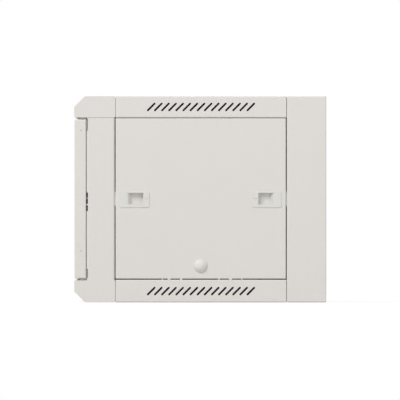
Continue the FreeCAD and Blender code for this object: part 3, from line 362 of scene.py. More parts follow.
@dataclass(frozen=True)
class PowderCoat(Finish):
    """Fine textured powder coat on sheet steel."""

    dimple: float = 0.0011
    grit: float = 0.00033
    cloud: float = 0.09
    speck: float = 0.0016
    speck_noise: Pair = (0.66, 0.80)  # noise over which a speck darkens
    depth: float = 0.00008
    roughness: float = 0.46
    refraction: float = 1.48
    tones: Pair = (0.975, 1.02)
    cloud_tone: float = 0.5
    dimple_tone: float = 0.35
    speck_tone: float = 0.2
    dimple_sheen: float = 0.12
    cloud_sheen: float = 0.06
    grit_relief: float = 0.2

    def paint(self, graph: Graph) -> None:
        """Sets up the shader.

        Args:
            graph: Node tree of the new material.
        """
        dimples = graph.noise(self.dimple, detail=1.0)
        grit = graph.noise(self.grit, detail=0.0)
        cloud = graph.noise(self.cloud)
        speck = graph.noise(self.speck, detail=1.0).clipped(*self.speck_noise)
        tone = cloud.swing(self.cloud_tone) + dimples.swing(self.dimple_tone) + NOISE_MIDDLE
        graph.set(
            Base_Color=graph.blend(tone - self.speck_tone * speck, self.colour, self.tones),
            Roughness=dimples.swing(self.dimple_sheen) + cloud.swing(self.cloud_sheen) + self.roughness,
            IOR=self.refraction,
        )
        graph.bump(dimples * (1 - self.grit_relief) + grit * self.grit_relief, self.depth)


@dataclass(frozen=True)
class ZincPlate(Finish):
    """Bright zinc plate on rolled steel, with faint rolling lines and a soft bloom."""

    line: float = 0.0007
    line_stretch: Place = (1.0, 1.0, 0.04)
    bloom: float = 0.022
    spangle: float = 0.0045
    spangle_middle: float = 0.4  # value around which the spangle varies
    depth: float = 0.00003
    roughness: float = 0.3
    tones: Pair = (0.86, 1.07)
    bloom_tone: float = 0.9
    spangle_tone: float = 0.35
    bloom_sheen: float = 0.22
    line_sheen: float = 0.16
    spangle_relief: float = 0.4

    def paint(self, graph: Graph) -> None:
        """Sets up the shader.

        Args:
            graph: Node tree of the new material.
        """
        lines = graph.noise(self.line, stretch=self.line_stretch)
        bloom = graph.noise(self.bloom, detail=3.0)
        spangle = graph.cells(self.spangle)
        tone = bloom.swing(self.bloom_tone) + spangle.swing(self.spangle_tone, self.spangle_middle)
        graph.set(
            Base_Color=graph.blend(tone + NOISE_MIDDLE, self.colour, self.tones),
            Metallic=1.0,
            Roughness=bloom.swing(self.bloom_sheen) + lines.swing(self.line_sheen) + self.roughness,
        )
        graph.bump(lines * (1 - self.spangle_relief) + spangle * self.spangle_relief, self.depth)


@dataclass(frozen=True)
class SatinChrome(Finish):
    """Satin chrome plate on a turned piece."""

    satin: float = 0.0004
    touch: float = 0.006
    depth: float = 0.00001
    roughness: float = 0.2
    tones: Pair = (0.93, 1.03)
    touch_sheen: float = 0.14
    satin_sheen: float = 0.08

    def paint(self, graph: Graph) -> None:
        """Sets up the shader.

        Args:
            graph: Node tree of the new material.
        """
        satin = graph.noise(self.satin)
        touch = graph.noise(self.touch)
        graph.set(
            Base_Color=graph.blend(touch, self.colour, self.tones),
            Metallic=1.0,
            Roughness=touch.swing(self.touch_sheen) + satin.swing(self.satin_sheen) + self.roughness,
        )
        graph.bump(satin, self.depth)


@dataclass(frozen=True)
class SmokeGlass(Finish):
    """Toughened glass with a light smoke tint and faint wiping marks."""

    wipe: float = 0.05
    wipe_stretch: Place = (1.0, 1.0, 0.25)
    wipe_noise: Pair = (0.45, 0.8)  # noise over which a wiping mark shows
    roughness: float = 0.02
    refraction: float = 1.5
    clearness: float = 0.92  # share of the light that goes through
    tones: Pair = (1.0, 1.04)
    wipe_sheen: float = 0.05

    def paint(self, graph: Graph) -> None:
        """Sets up the shader.

        Args:
            graph: Node tree of the new material.
        """
        wipe = graph.noise(self.wipe, detail=3.0, stretch=self.wipe_stretch).clipped(*self.wipe_noise)
        graph.set(
            Base_Color=graph.blend(wipe, self.colour, self.tones),
            Roughness=wipe * self.wipe_sheen + self.roughness,
            IOR=self.refraction,
            Transmission_Weight=self.clearness,
        )


@dataclass(frozen=True)
class CellularFoam(Finish):
    """Closed-cell foam strip with its skin broken by small cells."""

    cell: float = 0.0009
    patch: float = 0.01
    depth: float = 0.00025
    roughness: float = 0.84
    refraction: float = 1.4
    tones: Pair = (0.55, 1.5)
    cell_tone: float = 0.8
    patch_tone: float = 0.4
    cell_sheen: float = 0.1

    def paint(self, graph: Graph) -> None:
        """Sets up the shader.

        Args:
            graph: Node tree of the new material.
        """
        cells = graph.cells(self.cell)
        tone = cells * self.cell_tone + graph.noise(self.patch).swing(self.patch_tone)
        graph.set(
            Base_Color=graph.blend(tone, self.colour, self.tones),
            Roughness=cells * self.cell_sheen + self.roughness,
            IOR=self.refraction,
        )
        graph.bump(cells, self.depth)


@dataclass(frozen=True)
class MatRubber(Finish):
    """Matt rubber profile with a fine extruded skin."""

    skin: float = 0.0006
    dust: float = 0.012
    dust_noise: Pair = (0.5, 0.85)  # noise over which dust shows
    depth: float = 0.00004
    roughness: float = 0.62
    refraction: float = 1.5
    tones: Pair = (1.0, 1.9)
    skin_sheen: float = 0.12

    def paint(self, graph: Graph) -> None:
        """Sets up the shader.

        Args:
            graph: Node tree of the new material.
        """
        skin = graph.noise(self.skin)
        dust = graph.noise(self.dust, detail=3.0).clipped(*self.dust_noise)
        graph.set(
            Base_Color=graph.blend(dust, self.colour, self.tones),
            Roughness=skin * self.skin_sheen + self.roughness,
            IOR=self.refraction,
        )
        graph.bump(skin, self.depth)


@dataclass(frozen=True)
class MouldedPlastic(Finish):
    """Satin moulded plastic with a fine spark-eroded texture."""

    roughness: float = 0.42
    spark: float = 0.00035
    flow: float = 0.012
    depth: float = 0.000012
    refraction: float = 1.5
    tones: Pair = (0.98, 1.015)
    spark_sheen: float = 0.12
    flow_sheen: float = 0.05

    def paint(self, graph: Graph) -> None:
        """Sets up the shader.

        Args:
            graph: Node tree of the new material.
        """
        spark = graph.noise(self.spark)
        flow = graph.noise(self.flow)
        graph.set(
            Base_Color=graph.blend(flow, self.colour, self.tones),
            Roughness=spark.swing(self.spark_sheen) + flow.swing(self.flow_sheen) + self.roughness,
            IOR=self.refraction,
        )
        graph.bump(spark, self.depth)


LIGHT_GREY = (0.73, 0.70, 0.67)
PLASTIC_GREY = (0.715, 0.70, 0.665)
BLACK = (0.02, 0.02, 0.02)
FINISHES = {
    "frame_paint": PowderCoat("frame_powder_coat", LIGHT_GREY),
    "panel_paint": PowderCoat("panel_powder_coat", LIGHT_GREY),
    "door_paint": PowderCoat("door_powder_coat", LIGHT_GREY),
    "glass": SmokeGlass("smoke_glass", (0.62, 0.68, 0.68)),
    "foam": CellularFoam("cellular_foam", (0.03, 0.03, 0.03)),
    # The door's edge seals are grey foam, and their grey also stands in for shaded paint deep in the door's
    # gaps: partly painted shade.
    "seal_foam": CellularFoam("grey_foam_and_gap_shade", (0.36, 0.35, 0.34)),
    # The depth strips get black powder coat, and their black also stands in for the shade seen through the
    # side vents: partly painted shade.
    "strip_paint": PowderCoat("black_coat_and_vent_shade", BLACK),
    "edging": MatRubber("rubber_edging", BLACK),
    "plug_plastic": MouldedPlastic("plug_moulding", PLASTIC_GREY, roughness=0.62),
    "latch_plastic": MouldedPlastic("latch_moulding", PLASTIC_GREY, roughness=0.5),
    "bush_plastic": MouldedPlastic("nylon_bush", (0.05, 0.05, 0.05)),
    "zinc_steel": ZincPlate("bright_zinc", (0.62, 0.63, 0.64)),
    "lock_chrome": SatinChrome("satin_chrome", (0.75, 0.75, 0.76)),
}


# ---------------------------------------------------------------- studio


@dataclass(frozen=True)
class Lamp:
    """Square soft lamp that faces the cabinet."""

    name: str
    place: Place
    size: float  # width of its panel, m
    power: float  # W
    aim: Place = (0.0, 0.0, 0.18)

    def build(self) -> None:
        """Adds the lamp to the scene."""
        data = bpy.data.lights.new(self.name, "AREA")
        data.size = self.size
        data.energy = self.power
        lamp = bpy.data.objects.new(self.name, data)
        lamp.location = self.place
        lamp.rotation_euler = (Vector(self.aim) - Vector(self.place)).to_track_quat("-Z", "Y").to_euler()
        bpy.context.scene.collection.objects.link(lamp)


@dataclass(frozen=True)
class Studio:
    """Camera, floor, world and soft lamps: one high at the door's side and weaker ones round about."""

    frame_height: float = 0.714  # height of the view at the near side, m
    lens: float = 1600.0  # mm
    sensor: float = 36.0  # mm
    far_clip: float = 200.0
    view_centre: Pair = (-0.0005, 0.18275)  # Y and Z at which the camera looks
    white: Colour = (1.0, 1.0, 1.0)
    floor_size: float = 5.0
    floor_drop: float = 0.0004  # of the floor below the cabinet's underside, m
    floor_tone: float = 0.60
    floor_roughness: float = 0.9
    floor_glow: float = 1.07  # strength of the white that the camera sees in the floor's place
    shadow_reach: Pair = (0.36, 0.62)  # distances over which the floor's shade fades out, m
    shadow_share: float = 0.16  # of the lit paper in what the camera sees near the cabinet
    world_light: float = 0.455  # strength of the even light from all round
    lamps: tuple[Lamp, ...] = (
        Lamp("key", (4.7, -3.3, 5.5), 3.6, 362.0),
        Lamp("fill", (3.6, 1.8, 0.5), 3.0, 30.0),
        Lamp("far_side", (-4.4, -1.2, 2.4), 3.2, 84.0),
        Lamp("wall_side", (-1.2, 5.0, 2.0), 3.2, 48.0),
    )

    def build(self) -> None:
        """Makes the whole studio."""
        self.build_camera()
        self.build_world()
        self.build_floor()
        for lamp in self.lamps:
            lamp.build()
        bpy.context.scene.view_settings.view_transform = "Standard"

    def build_camera(self) -> None:
        """Puts a long lens square to the cabinet's right-hand side."""
        data = bpy.data.cameras.new("camera")
        data.lens = self.lens
        data.sensor_width = self.sensor
        data.clip_end = self.far_clip
        camera = bpy.data.objects.new("camera", data)
        bpy.context.scene.collection.objects.link(camera)
        near_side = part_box("side_panel_right")[1].x
        distance = self.frame_height * self.lens / self.sensor
        camera.location = (near_side + distance, *self.view_centre)
        camera.rotation_euler = (RIGHT_ANGLE, 0, RIGHT_ANGLE)
        bpy.context.scene.camera = camera

    def build_world(self) -> None:
        """White background for the camera and through glass, and an even, weaker light for the rest."""
        world = bpy.data.worlds.new("studio")
        bpy.context.scene.world = world
        world.use_nodes = True
        tree = world.node_tree
        tree.nodes.clear()
        path = tree.nodes.new("ShaderNodeLightPath")
        seen = tree.nodes.new("ShaderNodeBackground")
        light = tree.nodes.new("ShaderNodeBackground")
        light.inputs["Strength"].default_value = self.world_light
        for background in (seen, light):
            background.inputs["Color"].default_value = (*self.white, 1.0)
        chosen = tree.nodes.new("ShaderNodeMixShader")
        either = tree.nodes.new("ShaderNodeMath")
        either.operation = "MAXIMUM"
        tree.links.new(path.outputs["Is Camera Ray"], either.inputs[0])
        tree.links.new(path.outputs["Is Transmission Ray"], either.inputs[1])
        tree.links.new(either.outputs[0], chosen.inputs[0])
        tree.links.new(light.outputs[0], chosen.inputs[1])
        tree.links.new(seen.outputs[0], chosen.inputs[2])
        output = tree.nodes.new("ShaderNodeOutputWorld")
        tree.links.new(chosen.outputs[0], output.inputs["Surface"])

    def build_floor(self) -> None:
        """Paper that the camera sees as white, with a little of its real shade near the cabinet."""
        deselect()
        bpy.ops.mesh.primitive_grid_add(
            x_subdivisions=2, y_subdivisions=2, size=self.floor_size, location=(0, 0, -self.floor_drop)
        )
        floor = finish_piece(bpy.context.object, "studio_floor")
        graph = Graph("floor_paper")
        graph.set(Base_Color=(self.floor_tone,) * 3, Roughness=self.floor_roughness)
        glow = graph.node("ShaderNodeEmission", None, {"Color": self.white, "Strength": self.floor_glow})
        path = graph.node("ShaderNodeLightPath")
        seen = graph.math("MAXIMUM", Field(graph, path.outputs["Is Camera Ray"]),
                          Field(graph, path.outputs["Is Transmission Ray"]))
        length = graph.node("ShaderNodeVectorMath", {"operation": "LENGTH"}, {0: graph.place})
        far = Field(graph, length.outputs["Value"]).clipped(*self.shadow_reach)
        glowing = seen * (1.0 - self.shadow_share * (1.0 - far))
        shader = graph.node("ShaderNodeMixShader", None, {0: glowing})
        graph.tree.links.new(graph.shader.outputs[0], shader.inputs[1])
        graph.tree.links.new(glow.outputs[0], shader.inputs[2])
        graph.tree.links.new(shader.outputs[0], graph.output.inputs["Surface"])
        floor.data.materials.append(graph.material)


# ---------------------------------------------------------------- modelling helpers


ROUND_SIDES = 8  # a ring with more corners than this counts as round
ROUND_ANGLE = math.radians(32)  # edges of a round piece that are gentler than this look smooth
PRISM_ANGLE = math.radians(12)  # the same for a prism
THREAD_DEPTH = 0.6  # of a thread, over its pitch
THREAD_CREST = (0.45, 0.6)  # where a crest starts and ends, in turns
RECESS_WIDTH = 0.22  # of a cross recess's slots, over their length
RECESS_DEPTH = 0.8  # of the cutter, over the slots' length
HEXAGON = 6
FLATS = math.cos(RIGHT_ANGLE / 3)  # distance to a hexagon's flats over that to its corners


def deselect() -> None:
    """Leaves edit mode and deselects every object."""
    if bpy.context.object and bpy.context.object.mode != "OBJECT":
        bpy.ops.object.mode_set(mode="OBJECT")
    bpy.ops.object.select_all(action="DESELECT")


def finish_piece(piece: bpy.types.Object, name: str) -> bpy.types.Object:
    """Moves a piece's place into its mesh and names it.

    Args:
        piece: Object that was modelled at its place.
        name: Its new name.

    Returns:
        The same object, at the origin, unturned and unscaled.
    """
    deselect()
    piece.select_set(True)
    bpy.context.view_layer.objects.active = piece
    bpy.ops.object.transform_apply(location=True, rotation=True, scale=True)
    piece.name = name
    piece.data.name = name
    return piece


def merged(name: str, pieces: Sequence[bpy.types.Object]) -> bpy.types.Object:
    """Joins pieces into one object.

    Args:
        name: Its name.
        pieces: Objects at the origin.

    Returns:
        The joined object.
    """
    deselect()
    for piece in pieces:
        piece.select_set(True)
    bpy.context.view_layer.objects.active = pieces[0]
    bpy.ops.object.join()
    return finish_piece(bpy.context.object, name)


def turned(name: str, place: Vector, way: Way, rings: Rings, sides: int = 32) -> bpy.types.Object:
    """Builds a turned or prismatic piece ring by ring.

    Args:
        name: Name of the piece.
        place: Point from which the rings are measured.
        way: Direction along which they are measured.
        rings: Height and radius of each ring; both ends are closed.
        sides: Corners of a ring, 6 for a hexagon.

    Returns:
        The piece, with smooth shading over its gentle edges.
    """
    deselect()
    along = Vector(way.value)
    height, radius = rings[0]
    bpy.ops.mesh.primitive_circle_add(
        vertices=sides, radius=radius, fill_type="NGON", location=place + along * height,
        rotation=along.to_track_quat("Z", "Y").to_euler(),
    )
    bpy.ops.object.mode_set(mode="EDIT")
    bpy.ops.mesh.select_all(action="SELECT")
    for (low, before), (high, after) in zip(rings, rings[1:]):
        bpy.ops.mesh.extrude_region_move(TRANSFORM_OT_translate={"value": along * (high - low)})
        share = after / before
        bpy.ops.transform.resize(value=(share, share, share), center_override=place + along * high)
    bpy.ops.mesh.select_all(action="SELECT")
    bpy.ops.mesh.normals_make_consistent(inside=False)
    piece = finish_piece(bpy.context.object, name)
    bpy.ops.object.shade_smooth_by_angle(angle=ROUND_ANGLE if sides > ROUND_SIDES else PRISM_ANGLE)
    return piece


def thread(start: float, end: float, radius: float, pitch: float) -> list[Pair]:
    """Rings of a threaded length.

    Args:
        start: Height at which the thread starts.
        end: Height at which it ends.
        radius: Radius over the crests.
        pitch: Distance between crests.

    Returns:
        The rings, crest and root by turns.
    """
    turns = max(1, int((end - start) / pitch))
    step = (end - start) / turns
    root = radius - THREAD_DEPTH * pitch
    crest_start, crest_end = THREAD_CREST
    rings = []
    for turn in range(turns):
        low = start + step * turn
        rings += [(low, root), (low + step * crest_start, radius), (low + step * crest_end, radius)]
    return rings + [(end, root)]


def cross_recess(head: bpy.types.Object, place: Vector, way: Way, size: float) -> None:
    """Cuts a cross recess into a screw's head.

    Args:
        head: Piece with the head.
        place: Middle of the head's face.
        way: Direction that the face looks in.
        size: Width of the cross.
    """
    deselect()
    turn = Vector(way.value).to_track_quat("Z", "Y").to_euler()
    width, depth = size * RECESS_WIDTH, size * RECESS_DEPTH
    bpy.ops.mesh.primitive_cube_add(size=1.0, location=place, rotation=turn, scale=(size, width, depth))
    cutter = bpy.context.object
    bpy.ops.object.mode_set(mode="EDIT")
    bpy.ops.mesh.primitive_cube_add(size=1.0, location=place, rotation=turn, scale=(width, size, depth))
    bpy.ops.object.mode_set(mode="OBJECT")
    bpy.context.view_layer.objects.active = head
    modifier = head.modifiers.new("recess", "BOOLEAN")
    modifier.object = cutter
    modifier.use_self = True
    bpy.ops.object.modifier_apply(modifier=modifier.name)
    bpy.data.objects.remove(cutter)


# ---------------------------------------------------------------- screws and nuts


@dataclass(frozen=True)
class PanScrew:
    """Pan head screw with a cross recess."""

    radius: float
    head_radius: float
    head_height: float
    length: float
    pitch: float
    head: Rings = ((1.0, 0.5), (0.9, 0.72), (0.62, 0.91), (0.25, 1.0), (0.0, 1.0))  # over height and radius
    thread_start: float = 0.4  # over the radius
    thread_end: float = 0.96  # over the length
    tip: float = 0.75  # radius of the tip over the radius
    recess: float = 1.05  # width of the cross over the head's radius
    sides: int = 24

    def build(self, name: str, face: Vector, way: Way) -> bpy.types.Object:
        """Makes the screw.

        Args:
            name: Name of the piece.
            face: Where the head's underside meets the sheet.
            way: Direction from the underside to the screw's tip.

        Returns:
            The screw.
        """
        rings = [(-self.head_height * height, self.head_radius * radius) for height, radius in self.head]
        rings.append((0.0, self.radius))
        start, end = self.radius * self.thread_start, self.length * self.thread_end
        rings += thread(start, end, self.radius, self.pitch)
        rings.append((self.length, self.radius * self.tip))
        screw = turned(name, face, way, rings, self.sides)
        top = face - Vector(way.value) * self.head_height
        cross_recess(screw, top, way.back(), self.head_radius * self.recess)
        return screw


@dataclass(frozen=True)
class HexNut:
    """Hexagon nut with chamfered corners."""

    across_corners: float
    height: float
    chamfer: float = 0.88  # radius of the chamfered faces over that of the corners
    full: Pair = (0.12, 0.86)  # heights between which the corners are full, over the height

    def build(self, name: str, face: Vector, way: Way) -> bpy.types.Object:
        """Makes the nut.

        Args:
            name: Name of the piece.
            face: Middle of the face that meets the sheet.
            way: Direction from that face to the other.

        Returns:
            The nut.
        """
        radius = self.across_corners / 2
        low, high = self.full
        rings = [(0.0, radius * self.chamfer), (self.height * low, radius), (self.height * high, radius),
                 (self.height, radius * self.chamfer)]
        return turned(name, face, way, rings, HEXAGON)


# ---------------------------------------------------------------- sub-assemblies


@dataclass(frozen=True)
class LockHolePlugs:
    """Domed plugs in the unused lock holes of both side panels."""

    brim: float = 0.0008
    rim_round: float = 0.0003
    skirt: float = 0.0094
    skirt_wall: float = 0.0016
    barb: float = 0.0007
    barb_slope: int = 3  # length of the barb's slope over its height
    dome_rings: int = 12
    dome_tip: float = 0.35  # what the last ring leaves flat, in steps between rings
    sides: int = 64

    def build(self, cabinet: "Cabinet") -> None:
        """Makes both plugs.

        Args:
            cabinet: The cabinet that they belong to.
        """
        for side in Side:
            node = f"lock_hole_plug_{side.value}"
            low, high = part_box(node)
            inner, outer = side.reach(node)
            face = side.reach(f"side_panel_{side.value}")[1]
            rings = self.rings(abs(face - inner), abs(outer - inner), (high.y - low.y) / 2)
            middle = (low + high) / 2
            place = Vector((inner, middle.y, middle.z))
            plug = turned(f"domed_plug_{side.value}", place, side.outward(), rings, self.sides)
            cabinet.fit(plug, "cabinet_frame", "plug_plastic", node)

    def rings(self, seat: float, depth: float, radius: float) -> list[Pair]:
        """Outline of a plug from its skirt's end to the top of its dome.

        Args:
            seat: Height at which the brim lies on the panel.
            depth: Height of the dome's top.
            radius: Radius of the brim.

        Returns:
            Height and radius of each ring.
        """
        bore = self.skirt - self.skirt_wall
        rings = [(seat, bore), (0.0, bore), (0.0, self.skirt - self.barb / 2),
                 (self.barb * self.barb_slope, self.skirt + self.barb),
                 (self.barb * (self.barb_slope + 1), self.skirt),
                 (seat, self.skirt), (seat, radius - self.rim_round), (seat + self.rim_round, radius),
                 (seat + self.brim, radius)]
        rise = depth - seat - self.brim
        sphere = (radius ** 2 + rise ** 2) / (2 * rise)
        opening = math.asin(radius / sphere)
        for index in range(1, self.dome_rings + 1):
            angle = opening * (1 - index / (self.dome_rings + self.dome_tip))
            rings.append((depth - sphere * (1 - math.cos(angle)), sphere * math.sin(angle)))
        return rings


@dataclass(frozen=True)
class PanelNibs:
    """Pressed nibs beside the hooks, on which each side panel stands in its gap."""

    offsets: tuple[float, ...] = (-0.0687, -0.0566, -0.0350, 0.0327, 0.0532, 0.0736)  # from the middle
    widths: tuple[float, ...] = (0.0022, 0.0051, 0.0045, 0.0029, 0.0055, 0.0024)
    setback: float = 0.0001  # behind the panel's face
    thick: float = 0.0009
    overlap: float = 0.0013  # above and below the gap, over the rounded edges
    corner: float = 0.0002
    corner_rings: int = 3
    smooth: float = math.radians(40)
    hook_drop: float = 0.009  # of the hooks under the panel's edge
    landing_lip: float = 0.008  # of the cover above its landing

    def build(self, cabinet: "Cabinet") -> None:
        """Makes the nibs of both panels.

        Args:
            cabinet: The cabinet that they belong to.
        """
        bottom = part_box("bottom_cover")[1].z - self.landing_lip - self.overlap
        for side in Side:
            node = f"side_panel_{side.value}"
            low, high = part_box(node)
            top = low.z + self.hook_drop + self.overlap
            x = side.reach(node)[1] - side.sign() * (self.setback + self.thick / 2)
            nibs = []
            for offset, width in zip(self.offsets, self.widths):
                place = Vector((x, (low.y + high.y) / 2 + offset, (bottom + top) / 2))
                nibs.append(self.nib(place, Vector((self.thick, width, top - bottom))))
            cabinet.fit(merged(f"panel_nibs_{side.value}", nibs), "cabinet_frame", "panel_paint")

    def nib(self, place: Vector, size: Vector) -> bpy.types.Object:
        """Makes one nib.

        Args:
            place: Its middle.
            size: Its size along X, Y and Z.

        Returns:
            A block with rounded corners.
        """
        deselect()
        bpy.ops.mesh.primitive_cube_add(size=1.0, location=place, scale=size)
        bpy.ops.object.transform_apply(location=False, rotation=False, scale=True)
        bpy.ops.object.mode_set(mode="EDIT")
        bpy.ops.mesh.select_all(action="SELECT")
        bpy.ops.mesh.bevel(offset=self.corner, segments=self.corner_rings)
        nib = finish_piece(bpy.context.object, "nib")
        bpy.ops.object.shade_smooth_by_angle(angle=self.smooth)
        return nib


@dataclass(frozen=True)
class DoorRivets:
    """Blind rivets with a low domed head and the mark of their mandrel."""

    radius: float = 0.0015
    bulb: float = 0.00225
    bulb_length: float = 0.0015
    bulb_round: float = 0.0004
    grip: float = 0.0027
    proud: float = 0.0003
    bulb_tip: float = 0.5  # radius of the bulb's end over the bulb's
    head: Rings = ((0.4, 0.9), (0.0, 0.62), (0.0, 0.38), (1.0, 0.3))  # over proud and radius
    sides: int = 24

    def build(self, cabinet: "Cabinet") -> None:
        """Makes all four rivets as one piece.

        Args:
            cabinet: The cabinet that they belong to.
        """
        low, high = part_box("door_rivets")
        under = -self.grip - self.proud
        start = under - self.bulb_length
        rings = [(start, self.bulb * self.bulb_tip), (start + self.bulb_round, self.bulb),
                 (under, self.bulb), (under, self.radius), (-self.proud, self.radius)]
        rings += [(-self.proud * depth, self.radius * radius) for depth, radius in self.head]
        rivets = []
        for way, end in ((Way.PLUS_X, high.x), (Way.MINUS_X, low.x)):
            for z in (low.z + self.bulb, high.z - self.bulb):
                place = Vector((end, (low.y + high.y) / 2, z))
                rivets.append(turned("rivet", place, way, rings, self.sides))
        cabinet.fit(merged("domed_rivets", rivets), "door", "zinc_steel", "door_rivets")


@dataclass(frozen=True)
class ClampBolts:
    """Screws and hexagon nuts that clamp the 19-inch rails."""

    screw: PanScrew = PanScrew(0.003, 0.0055, 0.0036, 0.0101, 0.001)
    nut: HexNut = HexNut(0.011, 0.0045)
    nut_from_tip: float = 0.0055

    def build(self, cabinet: "Cabinet") -> None:
        """Makes the two bolts of every rail.

        Args:
            cabinet: The cabinet that they belong to.
        """
        for end in End:
            for side in Side:
                self.build_rail(cabinet, f"{end.value}_{side.value}", side)

    def build_rail(self, cabinet: "Cabinet", rail: str, side: Side) -> None:
        """Makes the two bolts of one rail.

        Args:
            cabinet: The cabinet that they belong to.
            rail: Place of the rail, as its node is named.
            side: Side on which it stands.
        """
        node = f"clamp_bolts_{rail}"
        low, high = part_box(node)
        inner, outer = side.reach(node)
        y = (low.y + high.y) / 2
        pieces = []
        for z in (low.z + self.screw.head_radius, high.z - self.screw.head_radius):
            face = Vector((inner + side.sign() * self.screw.head_height, y, z))
            pieces.append(self.screw.build("bolt", face, side.outward()))
            nut_face = Vector((outer - side.sign() * self.nut_from_tip, y, z))
            pieces.append(self.nut.build("nut", nut_face, side.outward()))
        cabinet.fit(merged(f"threaded_{node}", pieces), f"rack_rail_{rail}", "zinc_steel", node)


@dataclass(frozen=True)
class EntryPlateScrews:
    """Small pan head screws of both blanking plates."""

    screw: PanScrew = PanScrew(0.0019, 0.0038, 0.0019, 0.0025, 0.0007)

    def build(self, cabinet: "Cabinet") -> None:
        """Makes the four screws of each plate.

        Args:
            cabinet: The cabinet that they belong to.
        """
        for level, way in (("top", Way.PLUS_Z), ("bottom", Way.MINUS_Z)):
            node = f"entry_plate_screws_{level}"
            low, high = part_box(node)
            reach = self.screw.head_radius
            base = low.z + self.screw.head_height if way is Way.PLUS_Z else high.z - self.screw.head_height
            screws = []
            for x in (low.x + reach, high.x - reach):
                for y in (low.y + reach, high.y - reach):
                    screws.append(self.screw.build("screw", Vector((x, y, base)), way))
            cabinet.fit(merged(f"recessed_{node}", screws), "cabinet_frame", "zinc_steel", node)


@dataclass(frozen=True)
class FrameBolts:
    """Hexagon bolts with washer faces, threads and nuts, four to each joint of the frame."""

    radius: float = 0.0025
    corners: float = 0.0095
    nut_height: float = 0.0032
    washer_radius: float = 0.0045
    washer: float = 0.0006
    pitch: float = 0.0008
    tip: float = 0.0008  # of the thread past the nut
    sheet: float = 0.0015
    half_flange: float = 0.012
    chamfer: float = 0.88  # radius of the head's chamfered face over that of its corners
    chamfer_height: float = 0.14  # over the nut's height
    places: tuple[float, ...] = (-1.0, -1 / 3, 1 / 3, 1.0)  # over the outer bolts' X
    washer_sides: int = 24
    stem_sides: int = 16

    def build(self, cabinet: "Cabinet") -> None:
        """Makes all the bolts as one piece.

        Args:
            cabinet: The cabinet that they belong to.
        """
        low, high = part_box("frame_bolts")
        box_low, box_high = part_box("rear_box")
        flats = self.corners / 2 * FLATS
        heights = {
            End.FRONT: (low.z + flats, high.z - flats),
            End.REAR: (box_low.z + self.half_flange, box_high.z - self.half_flange),
        }
        outer = high.x - self.corners / 2
        pieces = []
        for end in End:
            before, after = self.flanges(end)
            grip = self.sheet + (after - before) / 2
            for z in heights[end]:
                for place in self.places:
                    pieces.append(self.bolt(Vector((outer * place, (before + after) / 2, z)), grip))
        cabinet.fit(merged("threaded_frame_bolts", pieces), "cabinet_frame", "zinc_steel", "frame_bolts")

    @staticmethod
    def flanges(end: End) -> Pair:
        """Faces along Y of the flanges that meet at one end of the covers.

        Args:
            end: Which end of the covers.

        Returns:
            Y of the face in front of the seam and of the face behind it.
        """
        cover_low, cover_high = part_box("top_cover")
        if end is End.FRONT:
            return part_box("front_bar_top")[1].y, cover_low.y
        return cover_high.y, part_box("rear_box")[0].y

    def bolt(self, place: Vector, grip: float) -> bpy.types.Object:
        """Makes one bolt.

        Args:
            place: Middle of the seam on the bolt's axis.
            grip: Distance from there to the faces under the head and the nut.

        Returns:
            The bolt with its nut.
        """
        half = self.corners / 2
        head_end = grip + self.nut_height
        bevel = self.nut_height * self.chamfer_height
        rings = [(-head_end, half * self.chamfer), (-head_end + bevel, half), (-grip - self.washer, half)]
        head = turned("head", place, Way.PLUS_Y, rings, HEXAGON)
        disc = [(-grip - self.washer, self.washer_radius), (-grip, self.washer_radius)]
        washer = turned("washer", place, Way.PLUS_Y, disc, self.washer_sides)
        shank = [(-grip, self.radius), (grip, self.radius)]
        shank += thread(grip, head_end + self.tip, self.radius, self.pitch)
        stem = turned("stem", place, Way.PLUS_Y, shank, self.stem_sides)
        nut = HexNut(self.corners, self.nut_height).build("nut", place + Vector((0, grip, 0)), Way.PLUS_Y)
        return merged("bolt", [head, washer, stem, nut])


@dataclass(frozen=True)
class EarthStud:
    """Threaded earthing stud with a washer and a hexagon nut."""

    radius: float = 0.003
    pitch: float = 0.001
    thread_start: float = 0.0005
    thread_end: float = 0.97  # over the length
    tip: float = 0.8  # radius of the tip over the radius
    sides: int = 24
    washer_radius: float = 0.0055
    washer: float = 0.0008
    washer_edge: Rings = ((0.0, 0.96), (0.4, 1.0), (1.0, 0.97))  # shares of its thickness and radius
    washer_sides: int = 36
    nut: HexNut = HexNut(0.011, 0.0037)

    def build(self, cabinet: "Cabinet") -> None:
        """Makes the stud.

        Args:
            cabinet: The cabinet that it belongs to.
        """
        low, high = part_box("earth_stud")
        foot = Vector(((low.x + high.x) / 2, (low.y + high.y) / 2, low.z))
        length = high.z - low.z
        rings = [(0.0, self.radius)]
        rings += thread(self.thread_start, length * self.thread_end, self.radius, self.pitch)
        rings.append((length, self.radius * self.tip))
        stud = turned("stud", foot, Way.PLUS_Z, rings, self.sides)
        disc = [(self.washer * height, self.washer_radius * radius) for height, radius in self.washer_edge]
        washer = turned("washer", foot, Way.PLUS_Z, disc, self.washer_sides)
        nut = self.nut.build("nut", foot + Vector((0, 0, self.washer)), Way.PLUS_Z)
        piece = merged("threaded_earth_stud", [stud, washer, nut])
        cabinet.fit(piece, "cabinet_frame", "zinc_steel", "earth_stud")


